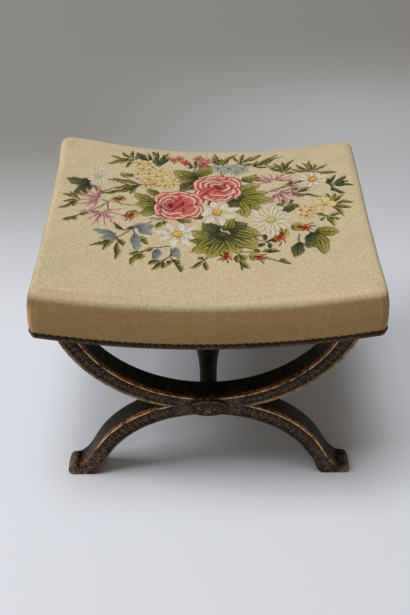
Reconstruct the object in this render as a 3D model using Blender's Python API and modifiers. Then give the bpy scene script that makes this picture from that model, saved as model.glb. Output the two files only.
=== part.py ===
"""Upholstered curule stool: two X frames joined by a turned stretcher, under a dished seat.

Metres, +Z up. The origin is on the floor under the middle of the seat. X runs along
the long side of the seat, and the side that faces -Y is called the front.
"""
import math

import bmesh
import bpy
from mathutils import Matrix, Vector

# Clearance between pieces that touch, and how far a cutter runs past what it cuts
GAP = 0.0003
OVERRUN = 0.005

# Seat, over the cover at its foot, from where the sides lean in to a rounded edge
SEAT_WIDTH = 0.520
SEAT_DEPTH = 0.420
SEAT_DISH = 0.0285
RAIL_UNDERSIDE = 0.3730
EDGE_HEIGHT = 0.081
EDGE_RADIUS = 0.015
TOP_CROWN = 0.005
SHOULDER_INSET = 0.0070
SIDE_MIDDLE_SHARE = 0.5
SIDE_MIDDLE_INSET_SHARE = 0.35
CORNER_RADIUS_TOP = 0.013
CORNER_RADIUS_FOOT = 0.009

# Upholstery layers
COVER_THICKNESS = 0.002
CALICO_THICKNESS = 0.001
CALICO_HEM_HEIGHT = 0.014
HESSIAN_THICKNESS = 0.001
HESSIAN_MARGIN = 0.011
WEBBING_THICKNESS = 0.0015
WEBBING_WIDTH = 0.055
WEBBING_COUNT = 6
WEBBING_SIDE_MARGIN = 0.0725
WEBBING_END_MARGIN = 0.016
BOTTOM_CLOTH_THICKNESS = 0.0008
BOTTOM_CLOTH_MARGIN = 0.010

# Round-headed nails along the foot of the cover
NAIL_PITCH = 0.0110
NAIL_HEAD_RADIUS = 0.0053
NAIL_HEAD_RISE = 0.0030
NAIL_HEIGHT = 0.0062
NAIL_WAIST_SHARE = 0.45
NAIL_SHOULDER_SHARE = 0.27

# Seat rails
RAIL_HEIGHT = 0.048
RAIL_WIDTH = 0.060
SIDE_RAIL_WIDTH = 0.028
CORNER_BLOCK_LEG = 0.045
CORNER_BLOCK_HEIGHT = 0.034
CORNER_BLOCK_LIFT = 0.006

# X frames: an upper bow and a lower arch that meet at the crossing
LEG_DEPTH = 0.038
LEG_SETBACK = 0.024
CROSS_HEIGHT = 0.1822
CROSS_DEPTH = 0.0373
ARM_MARGIN = 0.0566
BOW_BAND = 0.0285
ARCH_INNER_RADIUS = 0.1915
ARCH_OUTER_RADIUS = 0.2155
ARCH_CROWN = 0.0296
ANKLE_ANGLE = math.radians(61)
ANKLE_EASE_SHARE = 0.36
FOOT_LENGTH = 0.0445
TOE_RADIUS = 0.0115
TOE_NOOK_ANGLE = math.radians(45)
TOE_NOOK_SLOPE = math.radians(38)
CROTCH_RELIEF = 0.0006

# Oval medallion over each crossing
MEDALLION_WIDTH = 0.060
MEDALLION_HEIGHT = 0.038
MEDALLION_RISE = 0.0065
MEDALLION_DROP = 0.0015
MEDALLION_PROFILE_SHARES = (
    (0.00, 1.00), (0.22, 0.96), (0.42, 0.84), (0.58, 0.62), (0.68, 0.34),
    (0.74, 0.30), (0.82, 0.52), (0.91, 0.50), (1.00, 0.22), (1.00, 0.00), (0.00, 0.00),
)

# Turned stretcher: places along its half length, and radii as shares of the collar's
STRETCHER_COLLAR_RADIUS = 0.0265
TENON_RADIUS = 0.008
TENON_LENGTH = 0.030
STRETCHER_PROFILE_SHARES = (
    (0.000, 1.00), (0.022, 1.00), (0.040, 0.93), (0.050, 0.80), (0.066, 0.76),
    (0.080, 0.83), (0.130, 0.90), (0.200, 0.91), (0.280, 0.84), (0.350, 0.71),
    (0.420, 0.60), (0.500, 0.51), (0.600, 0.46), (0.760, 0.44), (0.870, 0.44),
    (0.885, 0.48), (0.910, 0.51), (0.935, 0.48), (0.950, 0.44), (1.000, 0.46),
)

# Dowels
ARM_DOWEL_RADIUS = 0.005
ARM_DOWEL_LENGTH = 0.040
CORNER_DOWEL_RADIUS = 0.004
CORNER_DOWEL_LENGTH = 0.040
CORNER_DOWEL_HEIGHT_SHARES = (0.28, 0.72)

# Fineness
ARC_STEP = math.radians(6)
FLAT_ANGLE = math.radians(0.1)
ROUND_PROFILE = 0.5
ROUND_SEGMENTS = 16
CORNER_SEGMENTS = 4
TURNED_SEGMENTS = 18
SEAT_COLUMNS = 14
SEAT_ROWS = 10
CORNER_LINES = 2
ROLL_RINGS = 3
DISH_STEPS = 14
SEARCH_ROUNDS = 40
WELD_DISTANCE = 0.00005

# Worked out from the sizes above
GRID_MERGE_SHARE = 0.0001
UPRIGHT = math.radians(90)
HALF_TURN = math.pi
FRONT_FACE_Y = -SEAT_DEPTH / 2 + LEG_SETBACK
LEG_BACK_Y = FRONT_FACE_Y + LEG_DEPTH
LEG_MIDDLE_Y = FRONT_FACE_Y + LEG_DEPTH / 2
WEBBING_PITCH = (SEAT_WIDTH - 2 * WEBBING_SIDE_MARGIN) / (WEBBING_COUNT - 1)
ARM_REACH = SEAT_WIDTH / 2 - ARM_MARGIN
BOW_FOOT_Z = CROSS_HEIGHT + CROSS_DEPTH / 2
BOW_RISE = RAIL_UNDERSIDE + SEAT_DISH * ((2 * ARM_REACH / SEAT_WIDTH) ** 2 - 1) - GAP - BOW_FOOT_Z
BOW_INNER_RADIUS = (ARM_REACH ** 2 + BOW_RISE ** 2) / (2 * BOW_RISE)
BOW_CENTRE_Z = BOW_FOOT_Z + BOW_INNER_RADIUS
BOW_OUTER_RADIUS = BOW_INNER_RADIUS + BOW_BAND
ARCH_CENTRE_Z = CROSS_HEIGHT - CROSS_DEPTH / 2 - ARCH_INNER_RADIUS
ARCH_OUTER_CENTRE_Z = CROSS_HEIGHT - CROSS_DEPTH / 2 + ARCH_CROWN - ARCH_OUTER_RADIUS
CALICO_OFFSET = COVER_THICKNESS + GAP
PAD_OFFSET = CALICO_OFFSET + CALICO_THICKNESS + GAP
RAIL_HALF_X = SEAT_WIDTH / 2 - PAD_OFFSET
RAIL_HALF_Y = SEAT_DEPTH / 2 - PAD_OFFSET
RAIL_INNER_X = RAIL_HALF_X - SIDE_RAIL_WIDTH
RAIL_INNER_Y = RAIL_HALF_Y - RAIL_WIDTH
SHOULDER_HEIGHT = EDGE_HEIGHT - EDGE_RADIUS
SIDE_MIDDLE_HEIGHT = SIDE_MIDDLE_SHARE * SHOULDER_HEIGHT
SIDE_MIDDLE_INSET = SIDE_MIDDLE_INSET_SHARE * SHOULDER_INSET
NAIL_TOP_HEIGHT = NAIL_HEIGHT + NAIL_HEAD_RADIUS
WEBBING_LIFT = RAIL_HEIGHT + GAP
HESSIAN_LIFT = WEBBING_LIFT + WEBBING_THICKNESS + GAP
PAD_LIFT = HESSIAN_LIFT + HESSIAN_THICKNESS + GAP


def clear_scene():
    """Starts from an empty scene."""
    for leftover in list(bpy.data.objects):
        bpy.data.objects.remove(leftover, do_unlink=True)


def new_collection(name):
    """Adds a collection to the scene."""
    collection = bpy.data.collections.new(name)
    bpy.context.scene.collection.children.link(collection)
    return collection


def new_material(name, colour, roughness, metallic=0.0):
    """One plain finish."""
    material = bpy.data.materials.new(name)
    material.use_nodes = True
    shader = material.node_tree.nodes["Principled BSDF"]
    shader.inputs["Base Color"].default_value = (*colour, 1.0)
    shader.inputs["Roughness"].default_value = roughness
    shader.inputs["Metallic"].default_value = metallic
    return material


def add_object(name, data, collection, material=None):
    """Puts a mesh or curve in the scene as a named object."""
    obj = bpy.data.objects.new(name, data)
    collection.objects.link(obj)
    if material:
        obj.data.materials.append(material)
    return obj


def settled_mesh(obj):
    """The mesh that an object's curve or modifiers come to, welded, in world space."""
    bpy.context.view_layer.update()
    evaluated = obj.evaluated_get(bpy.context.evaluated_depsgraph_get())
    mesh = bpy.data.meshes.new_from_object(evaluated)
    mesh.transform(obj.matrix_world)
    shape = bmesh.new()
    shape.from_mesh(mesh)
    bmesh.ops.remove_doubles(shape, verts=shape.verts, dist=WELD_DISTANCE)
    bmesh.ops.recalc_face_normals(shape, faces=shape.faces)
    shape.to_mesh(mesh)
    shape.free()
    return mesh


def settle(obj, collection, material=None):
    """Replaces a curve or a modified object by its plain mesh, under the same name."""
    name = obj.name
    mesh = settled_mesh(obj)
    mesh.materials.clear()
    bpy.data.objects.remove(obj, do_unlink=True)
    mesh.name = name
    return add_object(name, mesh, collection, material)


def plate(name, outline, low, high, collection, material=None, flat=False):
    """A filled outline with thickness: upright between two depths, or flat between two heights."""
    curve = bpy.data.curves.new(name, "CURVE")
    curve.dimensions = "2D"
    curve.fill_mode = "BOTH"
    curve.extrude = (high - low) / 2
    spline = curve.splines.new("POLY")
    spline.points.add(len(outline) - 1)
    for point, (across, along) in zip(spline.points, outline):
        point.co = (across, along, 0, 1)
    spline.use_cyclic_u = True
    obj = add_object(name, curve, collection)
    if flat:
        obj.location = (0, 0, (low + high) / 2)
    else:
        obj.rotation_euler = (UPRIGHT, 0, 0)
        obj.location = (0, (low + high) / 2, 0)
    return settle(obj, collection, material)


def box(name, corner, opposite, collection, material=None):
    """A box between two opposite corners."""
    size = Vector([abs(far - near) for near, far in zip(corner, opposite)])
    middle = (Vector(corner) + Vector(opposite)) / 2
    shape = bmesh.new()
    bmesh.ops.create_cube(shape, size=1, matrix=Matrix.Translation(middle) @ Matrix.Diagonal((*size, 1)))
    mesh = bpy.data.meshes.new(name)
    shape.to_mesh(mesh)
    shape.free()
    return add_object(name, mesh, collection, material)


def rod(name, start, end, radius, collection, material=None):
    """A round bar between two points."""
    start = Vector(start)
    end = Vector(end)
    length = (end - start).length
    turn = (end - start).to_track_quat("Z", "Y").to_matrix().to_4x4()
    shape = bmesh.new()
    bmesh.ops.create_cone(shape, cap_ends=True, segments=ROUND_SEGMENTS, radius1=radius,
                          radius2=radius, depth=length)
    mesh = bpy.data.meshes.new(name)
    shape.to_mesh(mesh)
    shape.free()
    mesh.transform(Matrix.Translation((start + end) / 2) @ turn)
    return add_object(name, mesh, collection, material)


def move_shape(obj, matrix):
    """Moves or stretches an object's mesh, and leaves the object where it is."""
    obj.data.transform(matrix)
    obj.data.update()


def mark_cutter(obj):
    """Shows a cutter as a wire that is never rendered."""
    obj.hide_render = True
    obj.display_type = "WIRE"
    return obj


def cut(obj, cutters):
    """Takes each cutter's shape out of an object."""
    for cutter in cutters:
        modifier = obj.modifiers.new(cutter.name, "BOOLEAN")
        modifier.operation = "DIFFERENCE"
        modifier.solver = "EXACT"
        modifier.object = mark_cutter(cutter)
    return obj


def turned_copy(obj, name, collection, material):
    """The same piece on the back of the stool, turned half round about the middle."""
    mesh = settled_mesh(obj)
    mesh.materials.clear()
    mesh.name = name
    copy = add_object(name, mesh, collection, material)
    copy.rotation_euler = (0, 0, HALF_TURN)
    return copy


def dish(x):
    """How far the dished seat lies below its two ends."""
    return SEAT_DISH * ((2 * x / SEAT_WIDTH) ** 2 - 1)


def underside(x):
    """Height of the rails' underside."""
    return RAIL_UNDERSIDE + dish(x)


def spread(start, end, steps):
    """Evenly spaced values from start to end, both among them."""
    return [start + (end - start) * step / steps for step in range(steps + 1)]


def arc(centre_z, radius, start, end):
    """Points of an arc round (0, centre_z), its angles counted from straight up towards +X."""
    steps = max(1, math.ceil(abs(end - start) / ARC_STEP))
    return [(radius * math.sin(angle), centre_z + radius * math.cos(angle))
            for angle in spread(start, end, steps)]


def crotch():
    """Where the bow's and the arch's outer edges part: half width, bow height, arch height."""
    rise = BOW_CENTRE_Z - ARCH_OUTER_CENTRE_Z
    foot = (rise ** 2 + ARCH_OUTER_RADIUS ** 2 - BOW_OUTER_RADIUS ** 2) / (2 * rise)
    half_width = math.sqrt(ARCH_OUTER_RADIUS ** 2 - foot ** 2) + CROTCH_RELIEF
    bow_z = BOW_CENTRE_Z - math.sqrt(BOW_OUTER_RADIUS ** 2 - half_width ** 2)
    arch_z = ARCH_OUTER_CENTRE_Z + math.sqrt(ARCH_OUTER_RADIUS ** 2 - half_width ** 2)
    return half_width, bow_z, arch_z


def bow_cut_angle():
    """The angle at the bow's centre, from straight up, of the line that ends the lap."""
    half_width, bow_z, _ = crotch()
    return math.atan2(half_width, bow_z - BOW_CENTRE_Z)


def arch_cut_angle():
    """The same for the arch, at the centre of its underside."""
    half_width, _, arch_z = crotch()
    return math.atan2(half_width, arch_z - ARCH_CENTRE_Z)


def arch_cut_radius():
    """How far from that centre the crotch lies."""
    half_width, _, arch_z = crotch()
    return math.hypot(half_width, arch_z - ARCH_CENTRE_Z)


def arm_angle(radius):
    """Where an edge of the bow comes up against the underside of the rail."""
    low = HALF_TURN / 2
    high = HALF_TURN
    for _ in range(SEARCH_ROUNDS):
        angle = (low + high) / 2
        x = radius * math.sin(angle)
        z = BOW_CENTRE_Z + radius * math.cos(angle)
        if z < underside(x) - GAP:
            high = angle
        else:
            low = angle
    return high


def arm_end(radius):
    """The corner of the arm's end on that edge."""
    x = radius * math.sin(arm_angle(radius))
    return x, underside(x) - GAP


def ankle_curve(start, start_slope, end, end_slope):
    """An easy curve from the outside of the arch to the nook behind the toe."""
    ease = ANKLE_EASE_SHARE * (Vector(end) - Vector(start)).length
    first = Vector(start) + ease * Vector((math.cos(start_slope), -math.sin(start_slope)))
    second = Vector(end) - ease * Vector((math.cos(end_slope), -math.sin(end_slope)))
    steps = math.ceil(ANKLE_ANGLE / ARC_STEP)
    points = []
    for t in spread(0, 1, steps):
        point = ((1 - t) ** 3 * Vector(start) + 3 * (1 - t) ** 2 * t * first
                 + 3 * (1 - t) * t ** 2 * second + t ** 3 * Vector(end))
        points.append(tuple(point))
    return points


def foot_points():
    """The outside of a foot at +X, from the arch's outer edge round the toe to the sole."""
    ankle_x = ARCH_INNER_RADIUS * math.sin(ANKLE_ANGLE)
    ankle_z = ARCH_CENTRE_Z + ARCH_INNER_RADIUS * math.cos(ANKLE_ANGLE)
    heel_x = ankle_x + ankle_z / math.tan(ANKLE_ANGLE)
    toe_x = heel_x + FOOT_LENGTH - TOE_RADIUS
    start = arc(ARCH_OUTER_CENTRE_Z, ARCH_OUTER_RADIUS, ANKLE_ANGLE, ANKLE_ANGLE)[0]
    nook = (toe_x - TOE_RADIUS * math.sin(TOE_NOOK_ANGLE),
            TOE_RADIUS + TOE_RADIUS * math.cos(TOE_NOOK_ANGLE))
    curve = ankle_curve(start, ANKLE_ANGLE, nook, TOE_NOOK_SLOPE)
    toe = [(toe_x + x, z) for x, z in arc(TOE_RADIUS, TOE_RADIUS, -TOE_NOOK_ANGLE, HALF_TURN)]
    return curve[1:-1] + toe + [(heel_x, 0)]


def leg_outline(side):
    """Front view of one S-shaped leg, with its foot at side -1 or +1 and its arm opposite."""
    half_width, bow_z, arch_z = crotch()
    arch_end = arch_cut_angle() - GAP / arch_cut_radius()
    bow_end = bow_cut_angle() + GAP / BOW_OUTER_RADIUS
    foot = [(-x, z) for x, z in foot_points()]
    points = foot + arc(ARCH_CENTRE_Z, ARCH_INNER_RADIUS, -ANKLE_ANGLE, arch_end)
    points += arc(ARCH_CENTRE_Z, arch_cut_radius(), arch_end, arch_end)[:1]
    outer = arc(BOW_CENTRE_Z, BOW_OUTER_RADIUS, bow_cut_angle(), arm_angle(BOW_OUTER_RADIUS))
    points += [(half_width, bow_z)] + outer[1:-1] + [arm_end(BOW_OUTER_RADIUS)]
    inner = arc(BOW_CENTRE_Z, BOW_INNER_RADIUS, arm_angle(BOW_INNER_RADIUS), 2 * HALF_TURN - bow_end)
    points += [arm_end(BOW_INNER_RADIUS)] + inner[1:]
    points += arc(BOW_CENTRE_Z, BOW_OUTER_RADIUS, -bow_end, -bow_end)[:1]
    start = math.atan2(half_width, arch_z - ARCH_OUTER_CENTRE_Z)
    points += arc(ARCH_OUTER_CENTRE_Z, ARCH_OUTER_RADIUS, -start, -ANKLE_ANGLE)
    return [(-side * x, z) for x, z in points]


def lap_outline():
    """Front view of the wood that the two legs of a frame share where they cross."""
    half_width, bow_z, arch_z = crotch()
    above = arc(BOW_CENTRE_Z, BOW_INNER_RADIUS - OVERRUN, bow_cut_angle(), bow_cut_angle())[0]
    below = arc(ARCH_CENTRE_Z, ARCH_INNER_RADIUS - OVERRUN, arch_cut_angle(), arch_cut_angle())[0]
    right = [below, (half_width, arch_z), (half_width, bow_z), above]
    return right + [(-x, z) for x, z in reversed(right)]


def turned(name, profile, collection):
    """A solid of revolution about local Z, from a profile that runs down its outer side."""
    mesh = bpy.data.meshes.new(name)
    mesh.from_pydata([(radius, 0, height) for radius, height in profile],
                     [(step, step + 1) for step in range(len(profile) - 1)], [])
    obj = add_object(name, mesh, collection)
    screw = obj.modifiers.new("turn", "SCREW")
    screw.axis = "Z"
    screw.steps = TURNED_SEGMENTS
    screw.render_steps = TURNED_SEGMENTS
    screw.use_merge_vertices = True
    screw.merge_threshold = WELD_DISTANCE
    screw.use_smooth_shade = True
    return obj


def make_legs(parts, cutters, wood):
    """Two S-shaped legs a frame, halved into each other at the crossing."""
    lap = lap_outline()
    tenon_start = (0, LEG_BACK_Y + OVERRUN, CROSS_HEIGHT)
    tenon_end = (0, LEG_BACK_Y - TENON_LENGTH - GAP, CROSS_HEIGHT)
    tenon_bore = rod("tenon_bore", tenon_start, tenon_end, TENON_RADIUS + GAP, cutters)
    names = {-1: ("front_leg_left", "back_leg_right"), 1: ("front_leg_right", "back_leg_left")}
    laps = {-1: (LEG_MIDDLE_Y - GAP / 2, LEG_BACK_Y + OVERRUN),
            1: (FRONT_FACE_Y - OVERRUN, LEG_MIDDLE_Y + GAP / 2)}
    for side in (-1, 1):
        leg = plate(names[side][0], leg_outline(side), FRONT_FACE_Y, LEG_BACK_Y, parts, wood)
        lap_cutter = plate("lap_of_" + leg.name, lap, *laps[side], cutters)
        low, high = arm_dowel_ends(-side)
        bore = rod("arm_bore_of_" + leg.name, low - Vector((0, 0, GAP)), high, ARM_DOWEL_RADIUS + GAP, cutters)
        cut(leg, [lap_cutter, tenon_bore, bore])
        turned_copy(leg, names[side][1], parts, wood)


def arm_dowel_ends(side):
    """The two ends of the dowel in the front arm at one side."""
    inner_x, _ = arm_end(BOW_INNER_RADIUS)
    outer_x, _ = arm_end(BOW_OUTER_RADIUS)
    x = side * (inner_x + outer_x) / 2
    middle = Vector((x, LEG_MIDDLE_Y, underside(x)))
    reach = Vector((0, 0, ARM_DOWEL_LENGTH / 2))
    return middle - reach, middle + reach


def make_arm_dowels(parts, wood):
    """One dowel from each arm up into its rail."""
    for side, word in ((-1, "left"), (1, "right")):
        low, high = arm_dowel_ends(side)
        front = rod("front_arm_dowel_" + word, low, high, ARM_DOWEL_RADIUS, parts, wood)
        opposite = "right" if word == "left" else "left"
        turned_copy(front, "back_arm_dowel_" + opposite, parts, wood)


def make_medallions(parts, wood):
    """An oval boss with a raised rim over each crossing."""
    profile = [(share, height) for share, height in MEDALLION_PROFILE_SHARES]
    shape = turned("front_medallion", profile, parts)
    size = Matrix.Diagonal((MEDALLION_WIDTH / 2, MEDALLION_RISE, MEDALLION_HEIGHT / 2, 1))
    place = Matrix.Translation((0, FRONT_FACE_Y - GAP, CROSS_HEIGHT - MEDALLION_DROP))
    shape.rotation_euler = (UPRIGHT, 0, 0)
    medallion = settle(shape, parts, wood)
    move_shape(medallion, place @ size)
    turned_copy(medallion, "back_medallion", parts, wood)


def make_stretcher(parts, wood):
    """The turned bar between the two crossings, with a round tenon at each end."""
    half = -LEG_BACK_Y - GAP
    outer = [(share * STRETCHER_COLLAR_RADIUS, along * half) for along, share in STRETCHER_PROFILE_SHARES]
    ends = [(TENON_RADIUS, half), (TENON_RADIUS, half + TENON_LENGTH), (0, half + TENON_LENGTH)]
    upper = outer[1:] + ends
    profile = list(reversed(upper)) + [outer[0]] + [(radius, -height) for radius, height in upper]
    bar = turned("stretcher", profile, parts)
    bar.rotation_euler = (UPRIGHT, 0, 0)
    bar.location = (0, 0, CROSS_HEIGHT)
    settle(bar, parts, wood)


def dished_slab(name, x_range, z_range, y_range, parts, material):
    """A slab whose underside and top follow the dish of the seat."""
    columns = spread(*x_range, DISH_STEPS)
    outline = [(x, underside(x) + z_range[0]) for x in columns]
    outline += [(x, underside(x) + z_range[1]) for x in reversed(columns)]
    return plate(name, outline, *y_range, parts, material)


def corner_dowel_ends(side, share):
    """The two ends of one dowel between the front rail and a side rail."""
    x = side * (RAIL_INNER_X + SIDE_RAIL_WIDTH / 2)
    middle = Vector((x, -RAIL_INNER_Y, underside(x) + share * RAIL_HEIGHT))
    reach = Vector((0, CORNER_DOWEL_LENGTH / 2, 0))
    return middle - reach, middle + reach


def corner_names(side, place):
    """What a front corner piece and its copy at the back are called."""
    words = {-1: "left", 1: "right"}
    return "front_" + words[side] + place, "back_" + words[-side] + place


def corner_bores(side, end, cutters):
    """Cutters for the two dowels in one corner: side -1 or +1 in X, end -1 or +1 in Y."""
    slack = Vector((0, GAP, 0))
    turn = Vector((1, -end, 1))
    bores = []
    for share in CORNER_DOWEL_HEIGHT_SHARES:
        start, stop = corner_dowel_ends(side, share)
        bores.append(rod("corner_bore", (start - slack) * turn, (stop + slack) * turn,
                         CORNER_DOWEL_RADIUS + GAP, cutters))
    return bores


def round_rail_corners(rail):
    """Rounds the two outer upright corners of the front rail."""
    shape = bmesh.new()
    shape.from_mesh(rail.data)
    bmesh.ops.dissolve_limit(shape, verts=shape.verts, edges=shape.edges, angle_limit=FLAT_ANGLE)
    corners = [edge for edge in shape.edges
               if all(abs(abs(vert.co.x) - RAIL_HALF_X) < WELD_DISTANCE
                      and abs(vert.co.y + RAIL_HALF_Y) < WELD_DISTANCE for vert in edge.verts)]
    bmesh.ops.bevel(shape, geom=corners, offset=CORNER_RADIUS_TOP, segments=CORNER_SEGMENTS,
                    profile=ROUND_PROFILE, affect="EDGES")
    shape.to_mesh(rail.data)
    shape.free()


def lean_rail(rail):
    """Leans the outer faces of a front or right rail in towards the top, as the cover does."""
    top_lean = side_inset(RAIL_HEIGHT)
    for vert in rail.data.vertices:
        height = vert.co.z - underside(vert.co.x)
        lean = top_lean * height / RAIL_HEIGHT
        if vert.co.y < -RAIL_INNER_Y + GAP / 2:
            vert.co.x *= 1 - lean / RAIL_HALF_X
            vert.co.y += lean * (-RAIL_INNER_Y - vert.co.y) / RAIL_WIDTH
        else:
            vert.co.x -= lean * (vert.co.x - RAIL_INNER_X) / SIDE_RAIL_WIDTH
        vert.co.z = underside(vert.co.x) + height
    rail.data.update()


def make_rails(parts, cutters, wood):
    """Front and back rails with the dish sawn into them, and two short side rails between."""
    front_bores = corner_bores(-1, -1, cutters) + corner_bores(1, -1, cutters)
    for side in (-1, 1):
        low, high = arm_dowel_ends(side)
        front_bores.append(rod("rail_arm_bore", low, high + Vector((0, 0, GAP)),
                               ARM_DOWEL_RADIUS + GAP, cutters))
    height = (0, RAIL_HEIGHT)
    front = dished_slab("front_rail", (-RAIL_HALF_X, RAIL_HALF_X), height,
                        (-RAIL_HALF_Y, -RAIL_INNER_Y), parts, wood)
    round_rail_corners(front)
    lean_rail(front)
    cut(front, front_bores)
    turned_copy(front, "back_rail", parts, wood)
    inner = RAIL_INNER_Y - GAP
    right = dished_slab("right_rail", (RAIL_INNER_X, RAIL_HALF_X), height, (-inner, inner), parts, wood)
    lean_rail(right)
    cut(right, corner_bores(1, -1, cutters) + corner_bores(1, 1, cutters))
    turned_copy(right, "left_rail", parts, wood)


def make_corner_dowels(parts, wood):
    """Two dowels in each corner of the seat frame."""
    for side in (-1, 1):
        for number, share in enumerate(CORNER_DOWEL_HEIGHT_SHARES, 1):
            start, end = corner_dowel_ends(side, share)
            front_name, back_name = corner_names(side, "_corner_dowel_" + str(number))
            dowel = rod(front_name, start, end, CORNER_DOWEL_RADIUS, parts, wood)
            turned_copy(dowel, back_name, parts, wood)


def make_corner_blocks(parts, wood):
    """A glued block in each inner corner of the seat frame."""
    for side in (-1, 1):
        corner_x = RAIL_INNER_X - GAP
        corner_y = -RAIL_INNER_Y + GAP
        outline = [(side * corner_x, corner_y), (side * (corner_x - CORNER_BLOCK_LEG), corner_y),
                   (side * corner_x, corner_y + CORNER_BLOCK_LEG)]
        low = underside(RAIL_INNER_X) + CORNER_BLOCK_LIFT
        front_name, back_name = corner_names(side, "_corner_block")
        block = plate(front_name, outline, low, low + CORNER_BLOCK_HEIGHT, parts, wood, flat=True)
        turned_copy(block, back_name, parts, wood)


def make_webbing(parts, jute):
    """Straps stretched from the front rail to the back rail."""
    reach = RAIL_HALF_Y - WEBBING_END_MARGIN
    for number in range(WEBBING_COUNT):
        middle = (number - (WEBBING_COUNT - 1) / 2) * WEBBING_PITCH
        dished_slab("webbing_strap_" + str(number + 1),
                    (middle - WEBBING_WIDTH / 2, middle + WEBBING_WIDTH / 2),
                    (WEBBING_LIFT, WEBBING_LIFT + WEBBING_THICKNESS), (-reach, reach), parts, jute)


def make_hessian(parts, jute):
    """The coarse cloth over the straps."""
    half_x = RAIL_HALF_X - HESSIAN_MARGIN
    half_y = RAIL_HALF_Y - HESSIAN_MARGIN
    dished_slab("hessian", (-half_x, half_x), (HESSIAN_LIFT, HESSIAN_LIFT + HESSIAN_THICKNESS),
                (-half_y, half_y), parts, jute)


def make_bottom_cloth(parts, cutters, cotton):
    """The dust cloth under the seat, cut back round the four arms."""
    half_x = RAIL_HALF_X - BOTTOM_CLOTH_MARGIN
    half_y = RAIL_HALF_Y - BOTTOM_CLOTH_MARGIN
    top = -GAP
    low = top - BOTTOM_CLOTH_THICKNESS
    cloth = dished_slab("bottom_cloth", (-half_x, half_x), (low, top), (-half_y, half_y), parts, cotton)
    inner_x, _ = arm_end(BOW_INNER_RADIUS)
    near = Vector((inner_x - OVERRUN, -LEG_BACK_Y - OVERRUN, 0))
    far = Vector((SEAT_WIDTH, SEAT_DEPTH, RAIL_UNDERSIDE + RAIL_HEIGHT))
    notches = []
    for side_x in (-1, 1):
        for side_y in (-1, 1):
            turn = Vector((side_x, side_y, 1))
            notches.append(box("cloth_notch", near * turn, far * turn, cutters))
    cut(cloth, notches)


def seat_cage(rings):
    """A closed unit cage: a top grid, walls of so many rings below it, and a second grid."""
    shape = bmesh.new()
    bmesh.ops.create_grid(shape, x_segments=SEAT_COLUMNS, y_segments=SEAT_ROWS, size=1)
    loop = [edge for edge in shape.edges if edge.is_boundary]
    for _ in range(rings):
        made = bmesh.ops.extrude_edge_only(shape, edges=loop)["geom"]
        verts = [item for item in made if isinstance(item, bmesh.types.BMVert)]
        bmesh.ops.translate(shape, verts=verts, vec=(0, 0, -1))
        low = set(verts)
        loop = [item for item in made if isinstance(item, bmesh.types.BMEdge)
                and item.verts[0] in low and item.verts[1] in low]
    bmesh.ops.create_grid(shape, x_segments=SEAT_COLUMNS, y_segments=SEAT_ROWS, size=1,
                          matrix=Matrix.Translation((0, 0, -rings)))
    bmesh.ops.remove_doubles(shape, verts=shape.verts, dist=GRID_MERGE_SHARE)
    return shape


def side_walk(share, straight_share, core, radius):
    """Along a side of a rounded plan from its middle: how far, and how far out from the core."""
    if share <= straight_share:
        return core * share / straight_share, radius
    angle = UPRIGHT / 2 * (share - straight_share) / (1 - straight_share)
    return core + radius * math.sin(angle), radius * math.cos(angle)


def rounded_plan(u, v, half_x, half_y, radius):
    """A place in a plan with round corners, from a place in the unit square."""
    ring = max(abs(u), abs(v))
    if ring == 0:
        return Vector((0, 0))
    core_x = half_x - radius
    core_y = half_y - radius
    if abs(v) == ring:
        x, out = side_walk(abs(u) / ring, 1 - 2 * CORNER_LINES / SEAT_COLUMNS, core_x, radius)
        y = core_y + out
    else:
        y, out = side_walk(abs(v) / ring, 1 - 2 * CORNER_LINES / SEAT_ROWS, core_y, radius)
        x = core_x + out
    return Vector((math.copysign(x * ring, u), math.copysign(y * ring, v)))


def side_inset(height):
    """How far a side lies inside its foot: upright behind the nails, then leaning in."""
    if height <= NAIL_TOP_HEIGHT:
        return 0
    if height <= SIDE_MIDDLE_HEIGHT:
        return SIDE_MIDDLE_INSET * (height - NAIL_TOP_HEIGHT) / (SIDE_MIDDLE_HEIGHT - NAIL_TOP_HEIGHT)
    climb = (height - SIDE_MIDDLE_HEIGHT) / (SHOULDER_HEIGHT - SIDE_MIDDLE_HEIGHT)
    return SIDE_MIDDLE_INSET + (SHOULDER_INSET - SIDE_MIDDLE_INSET) * climb


def wall_heights(foot):
    """Heights of the rings below the shoulder, down to the foot of a layer."""
    return [height for height in (SIDE_MIDDLE_HEIGHT, NAIL_TOP_HEIGHT) if height > foot] + [foot]


def wall_shape(ring, offset, heights):
    """Inset from the foot and height above the underside, at a ring of the seat's edge."""
    if ring > ROLL_RINGS:
        height = heights[ring - ROLL_RINGS - 1]
        return offset + side_inset(height), height
    angle = UPRIGHT * (1 - ring / ROLL_RINGS)
    radius = EDGE_RADIUS - offset
    inset = offset + SHOULDER_INSET + radius * (1 - math.cos(angle))
    return inset, SHOULDER_HEIGHT + radius * math.sin(angle)


def seat_plan(u, v, inset, height):
    """A place in the seat's plan at a height, so far inside the foot."""
    corner = CORNER_RADIUS_FOOT + (CORNER_RADIUS_TOP - CORNER_RADIUS_FOOT) * height / EDGE_HEIGHT
    return rounded_plan(u, v, SEAT_WIDTH / 2 - inset, SEAT_DEPTH / 2 - inset, corner)


def seat_point(u, v, ring, offset, heights):
    """A place on the seat's skin, or on a layer that lies so far inside it."""
    inset, height = wall_shape(ring, offset, heights)
    plan = seat_plan(u, v, inset, height)
    crown = 0
    if ring == 0:
        across = plan.x / (SEAT_WIDTH / 2 - inset)
        along = plan.y / (SEAT_DEPTH / 2 - inset)
        crown = TOP_CROWN * (1 - across ** 2) * (1 - along ** 2)
    return Vector((plan.x, plan.y, underside(plan.x) + height + crown))


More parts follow.
